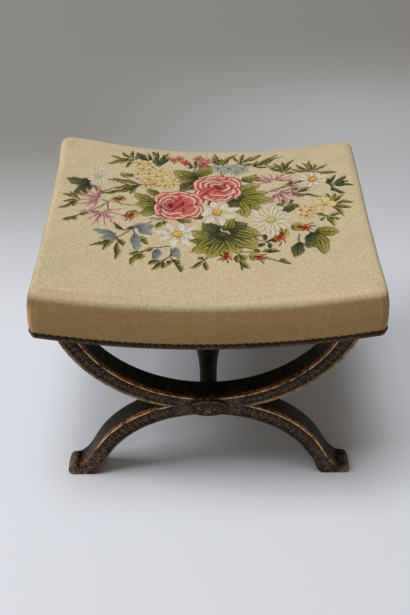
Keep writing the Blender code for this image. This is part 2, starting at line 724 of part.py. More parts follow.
def soft_solid(name, rings, place, parts, material):
    """Puts a unit cage's corners where a rule says."""
    shape = seat_cage(rings)
    for vert in shape.verts:
        vert.co = place(vert.co.x, vert.co.y, round(-vert.co.z))
    bmesh.ops.recalc_face_normals(shape, faces=shape.faces)
    mesh = bpy.data.meshes.new(name)
    shape.to_mesh(mesh)
    shape.free()
    mesh.shade_smooth()
    return add_object(name, mesh, parts, material)


def skin(name, offset, thickness, foot, parts, material):
    """A fitted cloth: over the top, round the edge and down the sides, open below."""
    heights = wall_heights(foot)
    walls = ROLL_RINGS + len(heights)

    def place(u, v, ring):
        if ring <= walls:
            return seat_point(u, v, ring, offset, heights)
        return seat_point(u, v, 2 * walls + 1 - ring, offset + thickness, heights)

    return soft_solid(name, 2 * walls + 1, place, parts, material)


def make_pad(parts, hair):
    """The crowned stuffing, on the hessian."""
    heights = wall_heights(PAD_LIFT)
    walls = ROLL_RINGS + len(heights)

    def place(u, v, ring):
        if ring < walls:
            return seat_point(u, v, ring, PAD_OFFSET, heights)
        plan = seat_plan(u, v, PAD_OFFSET + side_inset(PAD_LIFT), PAD_LIFT)
        return Vector((plan.x, plan.y, underside(plan.x) + PAD_LIFT))

    soft_solid("stuffing_pad", walls, place, parts, hair)


def nail_row(name, start, end, path, parts, brass):
    """Close-set domed heads along a path, their rims run together, their backs flat.

    path gives a place in front of the wall for a distance along the row, as
    (along, height), and the row is made flat against the plane y = 0.
    """
    count = int((end - start) / NAIL_PITCH)
    first = (start + end - (count - 1) * NAIL_PITCH) / 2
    stops = []
    for number in range(count):
        middle = first + number * NAIL_PITCH
        for share, radius in ((-0.5, NAIL_WAIST_SHARE), (-NAIL_SHOULDER_SHARE, 1), (NAIL_SHOULDER_SHARE, 1)):
            stops.append((middle + share * NAIL_PITCH, radius))
    stops.append((first + (count - 0.5) * NAIL_PITCH, NAIL_WAIST_SHARE))
    curve = bpy.data.curves.new(name, "CURVE")
    curve.dimensions = "3D"
    curve.bevel_depth = NAIL_HEAD_RADIUS
    curve.bevel_resolution = 1
    curve.use_fill_caps = True
    spline = curve.splines.new("POLY")
    spline.points.add(len(stops) - 1)
    for point, (along, radius) in zip(spline.points, stops):
        point.co = (along, 0, path(along), 1)
        point.radius = radius
    row = settle(add_object(name, curve, parts), parts, brass)
    shape = bmesh.new()
    shape.from_mesh(row.data)
    everything = list(shape.verts) + list(shape.edges) + list(shape.faces)
    cut_line = bmesh.ops.bisect_plane(shape, geom=everything, plane_co=(0, 0, 0),
                                      plane_no=(0, 1, 0), clear_outer=True)["geom_cut"]
    rim = [item for item in cut_line if isinstance(item, bmesh.types.BMEdge)]
    bmesh.ops.edgeloop_fill(shape, edges=rim)
    bmesh.ops.recalc_face_normals(shape, faces=shape.faces)
    bmesh.ops.scale(shape, verts=shape.verts, vec=(1, NAIL_HEAD_RISE / NAIL_HEAD_RADIUS, 1))
    shape.to_mesh(row.data)
    shape.free()
    return row


def make_nails(parts, brass):
    """A row of nails along the foot of each side of the cover."""
    half_x = SEAT_WIDTH / 2
    half_y = SEAT_DEPTH / 2
    reach_x = half_x - CORNER_RADIUS_FOOT
    reach_y = half_y - CORNER_RADIUS_FOOT
    front = nail_row("front_nail_row", -reach_x, reach_x, lambda x: underside(x) + NAIL_HEIGHT, parts, brass)
    move_shape(front, Matrix.Translation((0, -half_y - GAP, 0)))
    turned_copy(front, "back_nail_row", parts, brass)
    height = underside(half_x) + NAIL_HEIGHT
    side = nail_row("right_nail_row", -reach_y, reach_y, lambda y: height, parts, brass)
    move_shape(side, Matrix.Translation((half_x + GAP, 0, 0)) @ Matrix.Rotation(UPRIGHT, 4, "Z"))
    turned_copy(side, "left_nail_row", parts, brass)


def main():
    clear_scene()
    parts = new_collection("curule_stool")
    cutters = new_collection("cutters")
    carved_wood = new_material("dark carved wood", (0.045, 0.028, 0.018), 0.42)
    beech = new_material("beech", (0.52, 0.34, 0.19), 0.6)
    jute = new_material("jute", (0.42, 0.31, 0.19), 0.9)
    hair = new_material("horsehair", (0.10, 0.08, 0.06), 0.95)
    calico = new_material("calico", (0.78, 0.74, 0.66), 0.9)
    wool = new_material("needlepoint wool", (0.56, 0.45, 0.29), 0.9)
    brass = new_material("bronzed brass", (0.13, 0.09, 0.05), 0.45, 0.8)
    cotton = new_material("black cotton", (0.02, 0.02, 0.02), 0.9)
    make_legs(parts, cutters, carved_wood)
    make_arm_dowels(parts, beech)
    make_medallions(parts, carved_wood)
    make_stretcher(parts, carved_wood)
    make_rails(parts, cutters, beech)
    make_corner_dowels(parts, beech)
    make_corner_blocks(parts, beech)
    make_webbing(parts, jute)
    make_hessian(parts, jute)
    make_pad(parts, hair)
    skin("calico_lining", CALICO_OFFSET, CALICO_THICKNESS, CALICO_HEM_HEIGHT, parts, calico)
    skin("needlepoint_cover", 0, COVER_THICKNESS, 0, parts, wool)
    make_bottom_cloth(parts, cutters, cotton)
    make_nails(parts, brass)


main()
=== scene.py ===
"""Upholstered curule stool: the carved frame, the needlepoint seat and the studio round it.

Metres, +Z up. The front of the stool faces -Y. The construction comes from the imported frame,
and the pieces here are made round it, in the same place and at the same size.
"""
import math

import bmesh
import bpy
import numpy as np
from mathutils import Matrix, Vector, noise


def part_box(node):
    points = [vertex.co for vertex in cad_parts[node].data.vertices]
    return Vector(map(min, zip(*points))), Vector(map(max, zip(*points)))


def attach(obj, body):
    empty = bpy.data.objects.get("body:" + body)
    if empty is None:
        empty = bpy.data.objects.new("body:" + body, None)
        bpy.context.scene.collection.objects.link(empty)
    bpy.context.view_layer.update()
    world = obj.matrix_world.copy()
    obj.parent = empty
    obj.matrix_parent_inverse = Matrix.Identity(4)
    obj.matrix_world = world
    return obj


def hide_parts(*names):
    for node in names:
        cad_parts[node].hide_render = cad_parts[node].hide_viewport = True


bl_info = {
    "name": "Curule stool",
    "version": (1, 0, 0),
    "blender": (4, 5, 0),
    "location": "3D View > Sidebar > Stool",
    "description": "Carved X frames, a needlepoint seat and its nails, round a packed construction",
    "category": "Add Mesh",
}

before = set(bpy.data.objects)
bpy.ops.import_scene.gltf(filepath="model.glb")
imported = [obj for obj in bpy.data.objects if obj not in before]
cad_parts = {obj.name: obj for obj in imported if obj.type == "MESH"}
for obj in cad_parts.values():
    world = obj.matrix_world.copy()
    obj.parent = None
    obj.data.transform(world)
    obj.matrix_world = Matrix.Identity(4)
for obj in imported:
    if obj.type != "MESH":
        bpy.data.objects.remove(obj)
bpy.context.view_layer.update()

MM = 0.001
BODY = "root"
LEG_NODES = {"front_leg_left": -1, "front_leg_right": 1, "back_leg_left": 1, "back_leg_right": -1}
BEECH_WORDS = ("rail", "dowel", "block")
WELD = 1e-6


def linear(red, green, blue):
    """A colour that is written as it looks on a screen, 0 to 255, in linear light."""
    return tuple((channel / 255) ** 2.2 for channel in (red, green, blue))


def step(value, low, high):
    """Eases from 0 at low to 1 at high, for numbers or arrays."""
    share = np.clip((value - low) / (high - low), 0, 1)
    return share * share * (3 - 2 * share)


class Socket:
    """A socket of a node tree. Sums, products and powers of it add Math nodes."""

    def __init__(self, tree, socket):
        self.tree = tree
        self.socket = socket

    def math(self, operation, first, second=None):
        """One Math node on sockets or numbers."""
        values = {0: first} if second is None else {0: first, 1: second}
        return self.tree.add("ShaderNodeMath", {"operation": operation}, values)

    def __add__(self, other):
        return self.math("ADD", self, other)

    def __sub__(self, other):
        return self.math("SUBTRACT", self, other)

    def __rsub__(self, other):
        return self.math("SUBTRACT", other, self)

    def __mul__(self, other):
        return self.math("MULTIPLY", self, other)

    def __pow__(self, other):
        return self.math("POWER", self, other)

    __radd__ = __add__
    __rmul__ = __mul__

    def sin(self):
        """The sine of an angle in radians."""
        return self.math("SINE", self)

    def floor(self):
        """The whole number below."""
        return self.math("FLOOR", self)

    def absolute(self):
        """The value without its sign."""
        return self.math("ABSOLUTE", self)

    def clamp(self):
        """The value, kept between 0 and 1."""
        return self.math("MAXIMUM", self.math("MINIMUM", self, 1), 0)

    def ease(self, low, high):
        """0 below low, 1 above high, eased between them."""
        return self.tree.add("ShaderNodeMapRange", {"interpolation_type": "SMOOTHSTEP"},
                             {"Value": self, "From Min": low, "From Max": high})


class Tree:
    """A node tree, built by short calls."""

    def __init__(self, tree):
        self.tree = tree
        tree.nodes.clear()

    def add(self, kind, settings=(), values=(), out=0):
        """Adds a node: its type, its settings, the values or links of its sockets, and which output."""
        node = self.tree.nodes.new(kind)
        for name, value in dict(settings).items():
            setattr(node, name, value)
        for name, value in dict(values).items():
            self.feed(node.inputs[name], value)
        return Socket(self, node.outputs[out]) if len(node.outputs) else node

    def feed(self, socket, value):
        """Links a socket, or sets it to a number or a colour."""
        if isinstance(value, Socket):
            self.tree.links.new(value.socket, socket)
        elif isinstance(value, (tuple, list)) and socket.type == "RGBA" and len(value) == 3:
            socket.default_value = (*value, 1)
        else:
            socket.default_value = value


class Finish(Tree):
    """A procedural material: what varies goes through nodes, what doesn't is set on the shader."""

    def __init__(self, name, constants=()):
        self.material = bpy.data.materials.new(name)
        self.material.use_nodes = True
        super().__init__(self.material.node_tree)
        self.output = self.tree.nodes.new("ShaderNodeOutputMaterial")
        self.shader = self.tree.nodes.new("ShaderNodeBsdfPrincipled")
        self.tree.links.new(self.shader.outputs[0], self.output.inputs["Surface"])
        for socket, value in dict(constants).items():
            self.feed(self.shader.inputs[socket], value)
        self.place = self.add("ShaderNodeTexCoord", out="Object")

    def noise(self, scale, detail=2, roughness=0.5, stretch=None):
        """Noise over the piece's own coordinates, stretched along an axis if asked, around 0.5."""
        place = self.place
        if stretch:
            place = self.add("ShaderNodeMapping", {}, {"Vector": place, "Scale": stretch})
        return self.add("ShaderNodeTexNoise", {},
                        {"Vector": place, "Scale": scale, "Detail": detail, "Roughness": roughness})

    def attribute(self, name, colour=False):
        """A number or a colour that the mesh holds by name."""
        return self.add("ShaderNodeAttribute", {"attribute_name": name}, out="Color" if colour else "Fac")

    def mix(self, first, second, factor):
        """From the first colour to the second."""
        return self.add("ShaderNodeMix", {"data_type": "RGBA"}, {0: factor, 6: first, 7: second}, out=2)

    def tint(self, colour, value):
        """A colour times a value."""
        return self.add("ShaderNodeVectorMath", {"operation": "SCALE"}, {0: colour, "Scale": value})

    def split(self, vector):
        """A vector's three numbers."""
        node = self.tree.nodes.new("ShaderNodeSeparateXYZ")
        self.feed(node.inputs[0], vector)
        return [Socket(self, output) for output in node.outputs]

    def bump(self, height, distance, strength=1.0):
        """Fine relief, by a height from 0 to 1 and how far that stands for in metres."""
        normal = self.add("ShaderNodeBump", {},
                          {"Height": height, "Distance": distance, "Strength": strength})
        self.feed(self.shader.inputs["Normal"], normal)

    def colour(self, value):
        """What gives the base colour."""
        self.feed(self.shader.inputs["Base Color"], value)

    def rough(self, value):
        """What gives the roughness."""
        self.feed(self.shader.inputs["Roughness"], value)


def carved_wood():
    """Dark stained wood with worn gilt on its edges."""
    wood = Finish("carved dark wood", {"Specular IOR Level": 0.2})
    across, _, up = wood.split(wood.place)
    gold = wood.attribute("gilt_bead") * (1 - across.ease(-0.185, -0.203) * up.ease(0.12, 0.10))
    strip = wood.attribute("gilt_strip")
    fillet = wood.attribute("fillet")
    carving = wood.attribute("carving")
    foot = wood.attribute("foot_wear") * (1 - 0.45 * across.ease(0.05, 0.18))
    broad = wood.noise(22, 3)
    fine = wood.noise(420, 3, 0.6)
    patches = wood.noise(95, 4, 0.65)
    spots = wood.noise(210, 3, 0.6)
    grain = wood.noise(60, 4, 0.6, stretch=(1, 6, 5))
    mottle = (broad * 0.2 + patches * 0.4 + spots * 0.4).ease(0.42, 0.6)
    stain = wood.mix(linear(13, 11, 7), linear(52, 44, 29), mottle)
    raised = wood.mix(linear(84, 56, 36), linear(72, 57, 48), patches.ease(0.4, 0.6))
    raised = wood.mix(raised, linear(122, 88, 58), spots.ease(0.48, 0.66) * 0.8)
    worn_carving = carving.ease(0.25, 0.9) * (spots * 0.5 + patches * 0.5).ease(0.34, 0.54)
    stain = wood.mix(stain, raised, worn_carving)
    streaks = grain * 0.5 + spots * 0.5
    brown = wood.mix(linear(88, 66, 54), linear(156, 124, 100), streaks.ease(0.38, 0.62))
    stain = wood.mix(stain, brown, foot * (patches * 0.6 + spots * 0.4).ease(0.38, 0.56))
    orange = wood.mix(linear(64, 36, 16), linear(182, 110, 48), streaks.ease(0.38, 0.6))
    stain = wood.mix(stain, orange, strip * (patches * 0.5 + grain * 0.5).ease(0.4, 0.52))
    pale = wood.mix(linear(132, 104, 72), linear(220, 188, 146), patches.ease(0.33, 0.58))
    stain = wood.mix(stain, pale, fillet * (patches * 0.35 + broad * 0.65).ease(0.31, 0.43))
    gilt = wood.mix(linear(158, 104, 54), linear(238, 206, 156), patches.ease(0.3, 0.62))
    worn = gold * (broad * 0.45 + patches * 0.55 + gold * 0.2 - 0.2).ease(0.36, 0.48)
    wood.colour(wood.mix(stain, gilt, worn))
    wood.rough(0.5 + 0.2 * fine - 0.08 * worn)
    wood.feed(wood.shader.inputs["Metallic"], worn * 0.3)
    wood.bump(fine * 0.5 + grain * 0.5, 0.0006, 0.5)
    return wood.material


def beech():
    """Bare sawn wood of the seat frame."""
    wood = Finish("bare beech", {"Specular IOR Level": 0.3})
    rings = wood.noise(14, 4, 0.6, stretch=(0.5, 6, 6))
    pores = wood.noise(260, 2, 0.7, stretch=(0.2, 3, 3))
    tone = wood.mix(linear(178, 140, 98), linear(206, 172, 128), rings.ease(0.3, 0.7))
    wood.colour(wood.mix(tone, linear(140, 100, 66), pores.ease(0.58, 0.8) * 0.6))
    wood.rough(0.55 + 0.2 * pores)
    wood.bump(pores, 0.0004)
    return wood.material


def woven(name, dark, light, pitch, slubs=0.3):
    """A plain weave: threads over and under, at a pitch in metres."""
    cloth = Finish(name, {"Sheen Weight": 0.15, "Sheen Roughness": 0.6, "Specular IOR Level": 0.15})
    across, along, _ = cloth.split(cloth.place)
    warp = (across * (math.pi / pitch)).sin()
    weft = (along * (math.pi / pitch)).sin()
    over = (warp * weft).ease(-0.3, 0.3)
    thread = over * warp.absolute() + (1 - over) * weft.absolute()
    uneven = cloth.noise(180, 3)
    # Painted shade: each thread is darker at its edges, where it dips under the crossing threads, and
    # lighter on its crown; the slubs vary it at random
    tone = (thread * 0.75 + uneven * slubs).clamp()
    cloth.colour(cloth.mix(dark, light, tone))
    cloth.rough(0.85 + 0.1 * uneven)
    cloth.bump(thread, 0.0004)
    return cloth.material


def horsehair():
    """Curled black and brown hair."""
    hair = Finish("curled horsehair", {"Specular IOR Level": 0.35})
    curls = hair.noise(140, 5, 0.75)
    strands = hair.noise(700, 2, 0.6)
    tone = hair.mix(linear(24, 19, 16), linear(88, 66, 48), (curls * 0.6 + strands * 0.4).ease(0.35, 0.65))
    hair.colour(tone)
    hair.rough(0.6 + 0.3 * strands)
    hair.bump(curls + strands, 0.002)
    return hair.material


def needlepoint():
    """Wool tent stitches, one for each whole step of the stitch map, coloured by the chart."""
    wool = Finish("needlepoint wool", {"Sheen Weight": 0.12, "Sheen Roughness": 0.5,
                                       "Sheen Tint": (1.0, 0.95, 0.85, 1), "Specular IOR Level": 0.12})
    places = wool.add("ShaderNodeUVMap", {"uv_map": "stitches"})
    across, along, _ = wool.split(places)
    stitch = wool.add("ShaderNodeCombineXYZ", {}, {0: across.floor(), 1: along.floor()})
    chance = wool.add("ShaderNodeTexWhiteNoise", {"noise_dimensions": "2D"}, {"Vector": stitch})
    slant = ((across - along) * (2 * math.pi)).sin() * 0.5 + 0.5
    row = (along * math.pi).sin().absolute()
    ridge = slant * row ** 0.6
    age = wool.noise(16, 3, 0.6)
    cluster = wool.noise(330, 2, 0.6)
    tone = 0.82 + chance * 0.26 + cluster.ease(0.3, 0.7) * 0.18
    # Painted shade: the wool is made darker in the grooves between the stitches' ridges
    tone = tone + age.ease(0.3, 0.7) * 0.06 - (1 - ridge) * 0.16
    wool.colour(wool.tint(wool.attribute("wool", colour=True), tone))
    wool.rough(0.82 + 0.12 * chance)
    wool.bump(ridge, 0.00045, 0.8)
    return wool.material


def bronzed_brass():
    """Domed nail heads, dark with rubbed crowns."""
    brass = Finish("bronzed brass", {"Specular IOR Level": 0.5})
    patches = brass.noise(240, 3, 0.6)
    crown = brass.attribute("crown")
    dark = brass.mix(linear(30, 22, 14), linear(52, 38, 22), patches.ease(0.35, 0.65))
    rubbed = brass.mix(linear(84, 62, 34), linear(124, 98, 60), patches.ease(0.4, 0.7))
    brass.colour(brass.mix(dark, rubbed, crown.ease(0.72, 1.0) * patches.ease(0.42, 0.62)))
    brass.feed(brass.shader.inputs["Metallic"], 0.55 + 0.25 * patches)
    brass.rough(0.44 + 0.25 * patches)
    brass.bump(patches, 0.0003)
    return brass.material


def bare_object(name, mesh, material=None):
    """A mesh as an object at the origin, in the scene."""
    obj = bpy.data.objects.new(name, mesh)
    bpy.context.scene.collection.objects.link(obj)
    if material:
        mesh.materials.clear()
        mesh.materials.append(material)
    return obj


def finished(obj, slot, *nodes):
    """Hangs a finished piece on the stool's body, in place of its construction nodes."""
    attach(obj, BODY)
    if nodes:
        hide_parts(*nodes)
    return obj


def mesh_of(name, points, faces, values=()):
    """A mesh from points and faces, with named numbers for each point, welded and facing out."""
    mesh = bpy.data.meshes.new(name)
    mesh.from_pydata([tuple(point) for point in points], [], faces)
    for key, numbers in dict(values).items():
        attribute = mesh.attributes.new(key, "FLOAT", "POINT")
        attribute.data.foreach_set("value", np.asarray(numbers, np.float32))
    shape = bmesh.new()
    shape.from_mesh(mesh)
    bmesh.ops.remove_doubles(shape, verts=shape.verts, dist=WELD)
    bmesh.ops.recalc_face_normals(shape, faces=shape.faces)
    shape.to_mesh(mesh)
    shape.free()
    return mesh


def grid_faces(rows, columns, start=0, closed=False):
    """Quads of a grid of points, numbered row by row from start, with rows that may close to rings."""
    number = start + np.arange(rows * columns).reshape(rows, columns)
    if closed:
        number = np.column_stack([number, number[:, 0]])
    corners = (number[:-1, :-1], number[:-1, 1:], number[1:, 1:], number[1:, :-1])
    return np.stack(corners, -1).reshape(-1, 4).tolist()


def band_faces(above, below):
    """Quads between two closed rings of points."""
    return np.stack([above, below, np.roll(below, -1), np.roll(above, -1)], -1).tolist()


def soften(mesh, angle):
    """Shades a mesh smooth, with sharp edges past an angle in degrees."""
    mesh.shade_smooth()
    mesh.set_sharp_from_angle(angle=math.radians(angle))
    return mesh


def plain_result(obj):
    """Settles an object's modifiers into a plain mesh."""
    bpy.context.view_layer.update()
    evaluated = obj.evaluated_get(bpy.context.evaluated_depsgraph_get())
    mesh = bpy.data.meshes.new_from_object(evaluated)
    name = obj.name
    bpy.data.objects.remove(obj, do_unlink=True)
    mesh.name = name
    return bare_object(name, mesh)


def metres(name, description, default):
    """A length that a user may change."""
    return bpy.props.FloatProperty(name=name, description=description, default=default, unit="LENGTH")


def degrees(name, description, default):
    """An angle that a user may change."""
    return bpy.props.FloatProperty(name=name, description=description, subtype="ANGLE",
                                   default=math.radians(default))


class SeatSettings(bpy.types.PropertyGroup):
    """The upholstered seat."""
    dish: metres("Dish", "How far the middle hangs below the ends", 0.0285)
    edge_height: metres("Edge height", "From the seat's foot to the top", 0.081)
    edge_radius: metres("Edge radius", "Radius of the rounded edge", 0.015)
    crown: metres("Crown", "How far the stuffing swells in the middle", 0.005)
    lean: metres("Lean", "How far the sides lean in under the rounded edge", 0.007)
    corner: metres("Corner radius", "Radius of the upright corners at the top", 0.010)
    back_corner: metres("Back corner radius", "Radius of the two back corners", 0.021)
    bulge: metres("Bulge", "How far the sides swell out over the nails", 0.0003)
    swell: metres("Corner swell", "How far the front corners swell sideways", 0.0036)
    lift: metres("Lift", "How far the back left corner stands up", 0.014)
    stitch: metres("Stitch", "Pitch of the needlepoint stitches", 0.0015)
    ground: bpy.props.FloatVectorProperty(name="Ground", description="Wool of the plain ground",
                                          subtype="COLOR", default=linear(194, 177, 143))


class FrameSettings(bpy.types.PropertyGroup):
    """The carved X frames."""
    cross_height: metres("Crossing height", "Middle of the crossing", 0.1822)
    cross_depth: metres("Crossing depth", "Wood at the crossing, from edge to edge", 0.0373)
    arm_margin: metres("Arm margin", "From the seat's end to the inside of an arm", 0.0566)
    bow_band: metres("Bow width", "Face of the bow, from edge to edge", 0.0285)
    arch_inner: metres("Arch inner radius", "Underside of the arch", 0.1915)
    arch_outer: metres("Arch outer radius", "Top of the arch", 0.2155)
    arch_crown: metres("Arch crown", "Depth of the arch in the middle", 0.0296)
    leaf_pitch: metres("Leaf pitch", "Spacing of the carved leaves", 0.0105)
    leaf_depth: metres("Carving depth", "How deep the carving is cut", 0.0022)
    bead: metres("Bead", "Width of the gilt bead along an edge", 0.0028)


class NailSettings(bpy.types.PropertyGroup):
    """The row of nails along the foot of the cover."""
    pitch: metres("Pitch", "Spacing of the nails", 0.011)
    radius: metres("Radius", "Radius of a head", 0.0057)
    rise: metres("Rise", "Height of the dome", 0.0027)
    height: metres("Height", "Middle of the row over the seat's foot", 0.0062)


class StudioSettings(bpy.types.PropertyGroup):
    """Camera, lamps and backdrop."""
    focal_pixels: bpy.props.FloatProperty(name="Focal length", description="In pixels of the picture",
                                          default=836.5)
    pitch: degrees("Pitch", "How far the camera looks down", 42.93)
    roll: degrees("Roll", "How far the camera leans", -0.53)
    yaw: degrees("Yaw", "How far the camera stands to the side", 0.17)
    distance: metres("Distance", "From the camera to what it looks at", 1.465)
    target: bpy.props.FloatVectorProperty(name="Target", description="What the camera looks at",
                                          default=(-0.0048, 0.0, 0.2298), subtype="XYZ")
    key_power: bpy.props.FloatProperty(name="Key lamp", default=47.0,
                                       description="Power that the lamps have their shares of")
    sky: bpy.props.FloatProperty(name="Room light", description="Strength of the light from all sides",
                                 default=0.19)


PICTURE_HEIGHT = 615
SENSOR = 36.0
COVER_THICKNESS = 0.002
CALICO_THICKNESS = 0.001
CLEAR = 0.0003
SEAT_LOW, SEAT_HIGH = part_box("needlepoint_cover")
HALF_X = SEAT_HIGH.x
HALF_Y = SEAT_HIGH.y
NAIL_BAND = 0.0115
FOOT_CORNER = 0.009
SIDE_NAIL_INSET = 0.0008
RAIL_TOP = 0.048
RAIL_CORNER = 0.0114
LIFT_SPREAD = (0.15, 0.05)
SWELL_SPREAD = 0.045


def seat_dish(x):
    """How far the dished seat lies below its two ends."""
    return bpy.context.scene.stool_seat.dish * ((x / HALF_X) ** 2 - 1)


def rail_foot():
    """Height of the seat's foot at the two ends, 4.6 mm under the rails of the construction."""
    return SEAT_HIGH.z - bpy.context.scene.stool_seat.edge_height


def side_lean(height):
    """How far a side lies inside its foot: upright behind the nails, swelling out, then leaning in."""
    seat = bpy.context.scene.stool_seat
    shoulder = seat.edge_height - seat.edge_radius
    places = np.array((NAIL_BAND, 0.3 * shoulder, 0.5 * shoulder, 0.75 * shoulder, shoulder))
    return np.interp(height, places, (0, -seat.bulge, -0.8 * seat.bulge, 0.25 * seat.lean, seat.lean))


def corner_radius(height, y):
    """Radius of the upright corners: tight round the rails, wider in the stuffing and at the back."""
    seat = bpy.context.scene.stool_seat
    places = (0, RAIL_TOP, seat.edge_height)
    front = np.interp(height, places, (FOOT_CORNER, seat.corner, seat.corner))
    back = np.interp(height, places, (FOOT_CORNER, RAIL_CORNER, seat.back_corner))
    return np.where(y > 0, back, front)


def corner_lift(x, y, height):
    """The stuffing stands up a little at the back left corner."""
    seat = bpy.context.scene.stool_seat
    away = ((x + HALF_X) / LIFT_SPREAD[0]) ** 2 / 2 + ((y - HALF_Y) / LIFT_SPREAD[1]) ** 2 / 2
    return seat.lift * np.exp(-away) * step(height, 0.3 * seat.edge_height, 0.9 * seat.edge_height)


def corner_swell(x, y, height):
    """How far the stuffing swells sideways at the two front corners, under its rounded edge."""
    seat = bpy.context.scene.stool_seat
    near = np.exp(-((y + HALF_Y) / SWELL_SPREAD) ** 2 / 2) * step(np.abs(x), 0.8 * HALF_X, HALF_X)
    return np.sign(x) * seat.swell * near * step(height, 0.5 * seat.edge_height, 0.85 * seat.edge_height)


def edge_profile(offset, foot, roll_steps, wall_heights):
    """Rings of the seat's edge from the top down: inset from the foot, and height."""
    seat = bpy.context.scene.stool_seat
    shoulder = seat.edge_height - seat.edge_radius
    radius = seat.edge_radius - offset
    rings = []
    for number in range(roll_steps + 1):
        angle = math.pi / 2 * (1 - number / roll_steps)
        inset = offset + seat.lean + radius * (1 - math.cos(angle))
        rings.append((inset, shoulder + radius * math.sin(angle)))
    for height in wall_heights:
        rings.append((offset + float(side_lean(max(height, foot))), max(height, foot)))
    return rings


def round_corner(x, y, half_x, half_y, radius):
    """Draws the corner squares of a plan in to quarter circles."""
    over_x = np.clip(np.abs(x) - (half_x - radius), 0, None) / radius
    over_y = np.clip(np.abs(y) - (half_y - radius), 0, None) / radius
    inner_x = np.minimum(np.abs(x), half_x - radius)
    inner_y = np.minimum(np.abs(y), half_y - radius)
    x_round = inner_x + radius * over_x * np.sqrt(1 - over_y ** 2 / 2)
    y_round = inner_y + radius * over_y * np.sqrt(1 - over_x ** 2 / 2)
    return np.copysign(x_round, x), np.copysign(y_round, y)


class SeatLayer:
    """One layer of the upholstery: a top grid and the rings of its edge, all of them points."""

    def __init__(self, lines_x, lines_y, rings):
        seat = bpy.context.scene.stool_seat
        inset, height = rings[0]
        self.half_x = HALF_X - inset
        self.half_y = HALF_Y - inset
        x, y = np.meshgrid(lines_x * self.half_x, lines_y * self.half_y)
        self.flat_x = x
        self.flat_y = y
        x, y = round_corner(x, y, self.half_x, self.half_y, corner_radius(seat.edge_height, y))
        swell = seat.crown * (1 - (x / self.half_x) ** 2) * (1 - (y / self.half_y) ** 2)
        z = rail_foot() + seat_dish(x) + height + swell + corner_lift(x, y, height)
        self.top = np.stack([x + corner_swell(x, y, height), y, z], -1)
        rows, columns = x.shape
        self.rim = ([(0, c) for c in range(columns - 1)] + [(r, columns - 1) for r in range(rows - 1)]
                    + [(rows - 1, c) for c in range(columns - 1, 0, -1)]
                    + [(r, 0) for r in range(rows - 1, 0, -1)])
        edge = np.array([self.top[place] for place in self.rim])
        widest = corner_radius(seat.edge_height, edge[:, 1])
        core_x = self.half_x - widest
        core_y = self.half_y - widest
        core = np.stack([np.clip(edge[:, 0], -core_x, core_x), np.clip(edge[:, 1], -core_y, core_y)], -1)
        out = (edge[:, :2] - core) / widest[:, None]
        self.out = out / np.maximum(np.linalg.norm(out, axis=1), 1e-9)[:, None]
        walls = []
        for inset, height in rings[1:]:
            corner = corner_radius(height, edge[:, 1])
            stretch = np.stack([(HALF_X - inset - corner) / core_x, (HALF_Y - inset - corner) / core_y], -1)
            plan = core * stretch + corner[:, None] * self.out
            z = rail_foot() + seat_dish(plan[:, 0]) + height + corner_lift(*plan.T, height)
            swell = corner_swell(*plan.T, height)
            walls.append(np.column_stack([plan[:, 0] + swell, plan[:, 1], z]))
        self.walls = np.array(walls)

    def points(self):
        """All points: the top row by row, then the rings of the edge."""
        return np.concatenate([self.top.reshape(-1, 3), self.walls.reshape(-1, 3)])

    def faces(self, start=0):
        """Quads of the top and the walls, and the numbers of the lowest ring's points."""
        rows, columns = self.top.shape[:2]
        faces = grid_faces(rows, columns, start)
        above = np.array([start + row * columns + column for row, column in self.rim])
        for level in range(len(self.walls)):
            below = start + rows * columns + level * len(self.rim) + np.arange(len(self.rim))
            faces += band_faces(above, below)
            above = below
        return faces, above


def seat_shell(name, outer, inner, every):
    """Joins an outer layer and a coarser inner layer at their hems into one closed shell."""
    faces, hem = outer.faces()
    inside, inner_hem = inner.faces(len(outer.points()))
    faces += [face[::-1] for face in inside]
    rows, columns = outer.top.shape[:2]
    rim_number = {place: number for number, place in enumerate(outer.rim)}
    steps = [(min(r * every, rows - 1), min(c * every, columns - 1)) for r, c in inner.rim]
    stops = [rim_number[place] for place in steps]
    for number, (first, last) in enumerate(zip(stops, stops[1:] + [len(hem)])):
        fine = [hem[place % len(hem)] for place in range(first, last + 1)]
        faces.append([int(point) for point in fine[::-1]]
                     + [int(inner_hem[number]), int(inner_hem[(number + 1) % len(inner_hem)])])
    points = np.concatenate([outer.points(), inner.points()])
    mesh = bpy.data.meshes.new(name)
    mesh.from_pydata(points.tolist(), [], faces)
    return mesh


# Petals narrower than this share of a rose are its dark heart
HEART = 0.3


def dyed(*shades):
    """The shades of one wool, from dark to light."""
    return tuple(linear(*shade) for shade in shades)


ROSE = dyed((104, 22, 36), (146, 48, 56), (178, 86, 80), (194, 114, 100), (208, 146, 126), (218, 178, 154))
PINK = dyed((116, 50, 76), (150, 84, 104), (176, 120, 124), (200, 156, 144))
WHITE = dyed((130, 123, 110), (164, 156, 140), (196, 187, 166), (210, 201, 180))
CREAM = dyed((134, 125, 94), (172, 161, 130), (200, 190, 162), (212, 203, 178))
YELLOW = dyed((130, 100, 64), (172, 142, 90), (196, 170, 114), (208, 187, 136))
ORANGE = dyed((140, 84, 50), (180, 122, 74), (194, 152, 98), (204, 176, 124))
BLUE = dyed((82, 84, 84), (110, 113, 112), (136, 138, 133), (160, 159, 148))
GREEN = dyed((36, 38, 20), (60, 62, 28), (92, 90, 38), (130, 120, 54), (160, 146, 74))
DARK = dyed((32, 36, 24), (48, 54, 32), (74, 78, 42), (106, 106, 58))
OLIVE = dyed((46, 50, 24), (86, 84, 36), (126, 118, 50), (160, 147, 72))
BRICK = dyed((98, 34, 26), (144, 60, 38), (174, 98, 54), (190, 142, 80))
BROWN = dyed((98, 48, 42), (146, 84, 70), (172, 114, 92), (192, 150, 122))
EYE = dyed((120, 82, 34), (180, 138, 56), (212, 170, 76))
PALE_EYE = dyed((138, 128, 78), (164, 152, 94), (186, 174, 116))


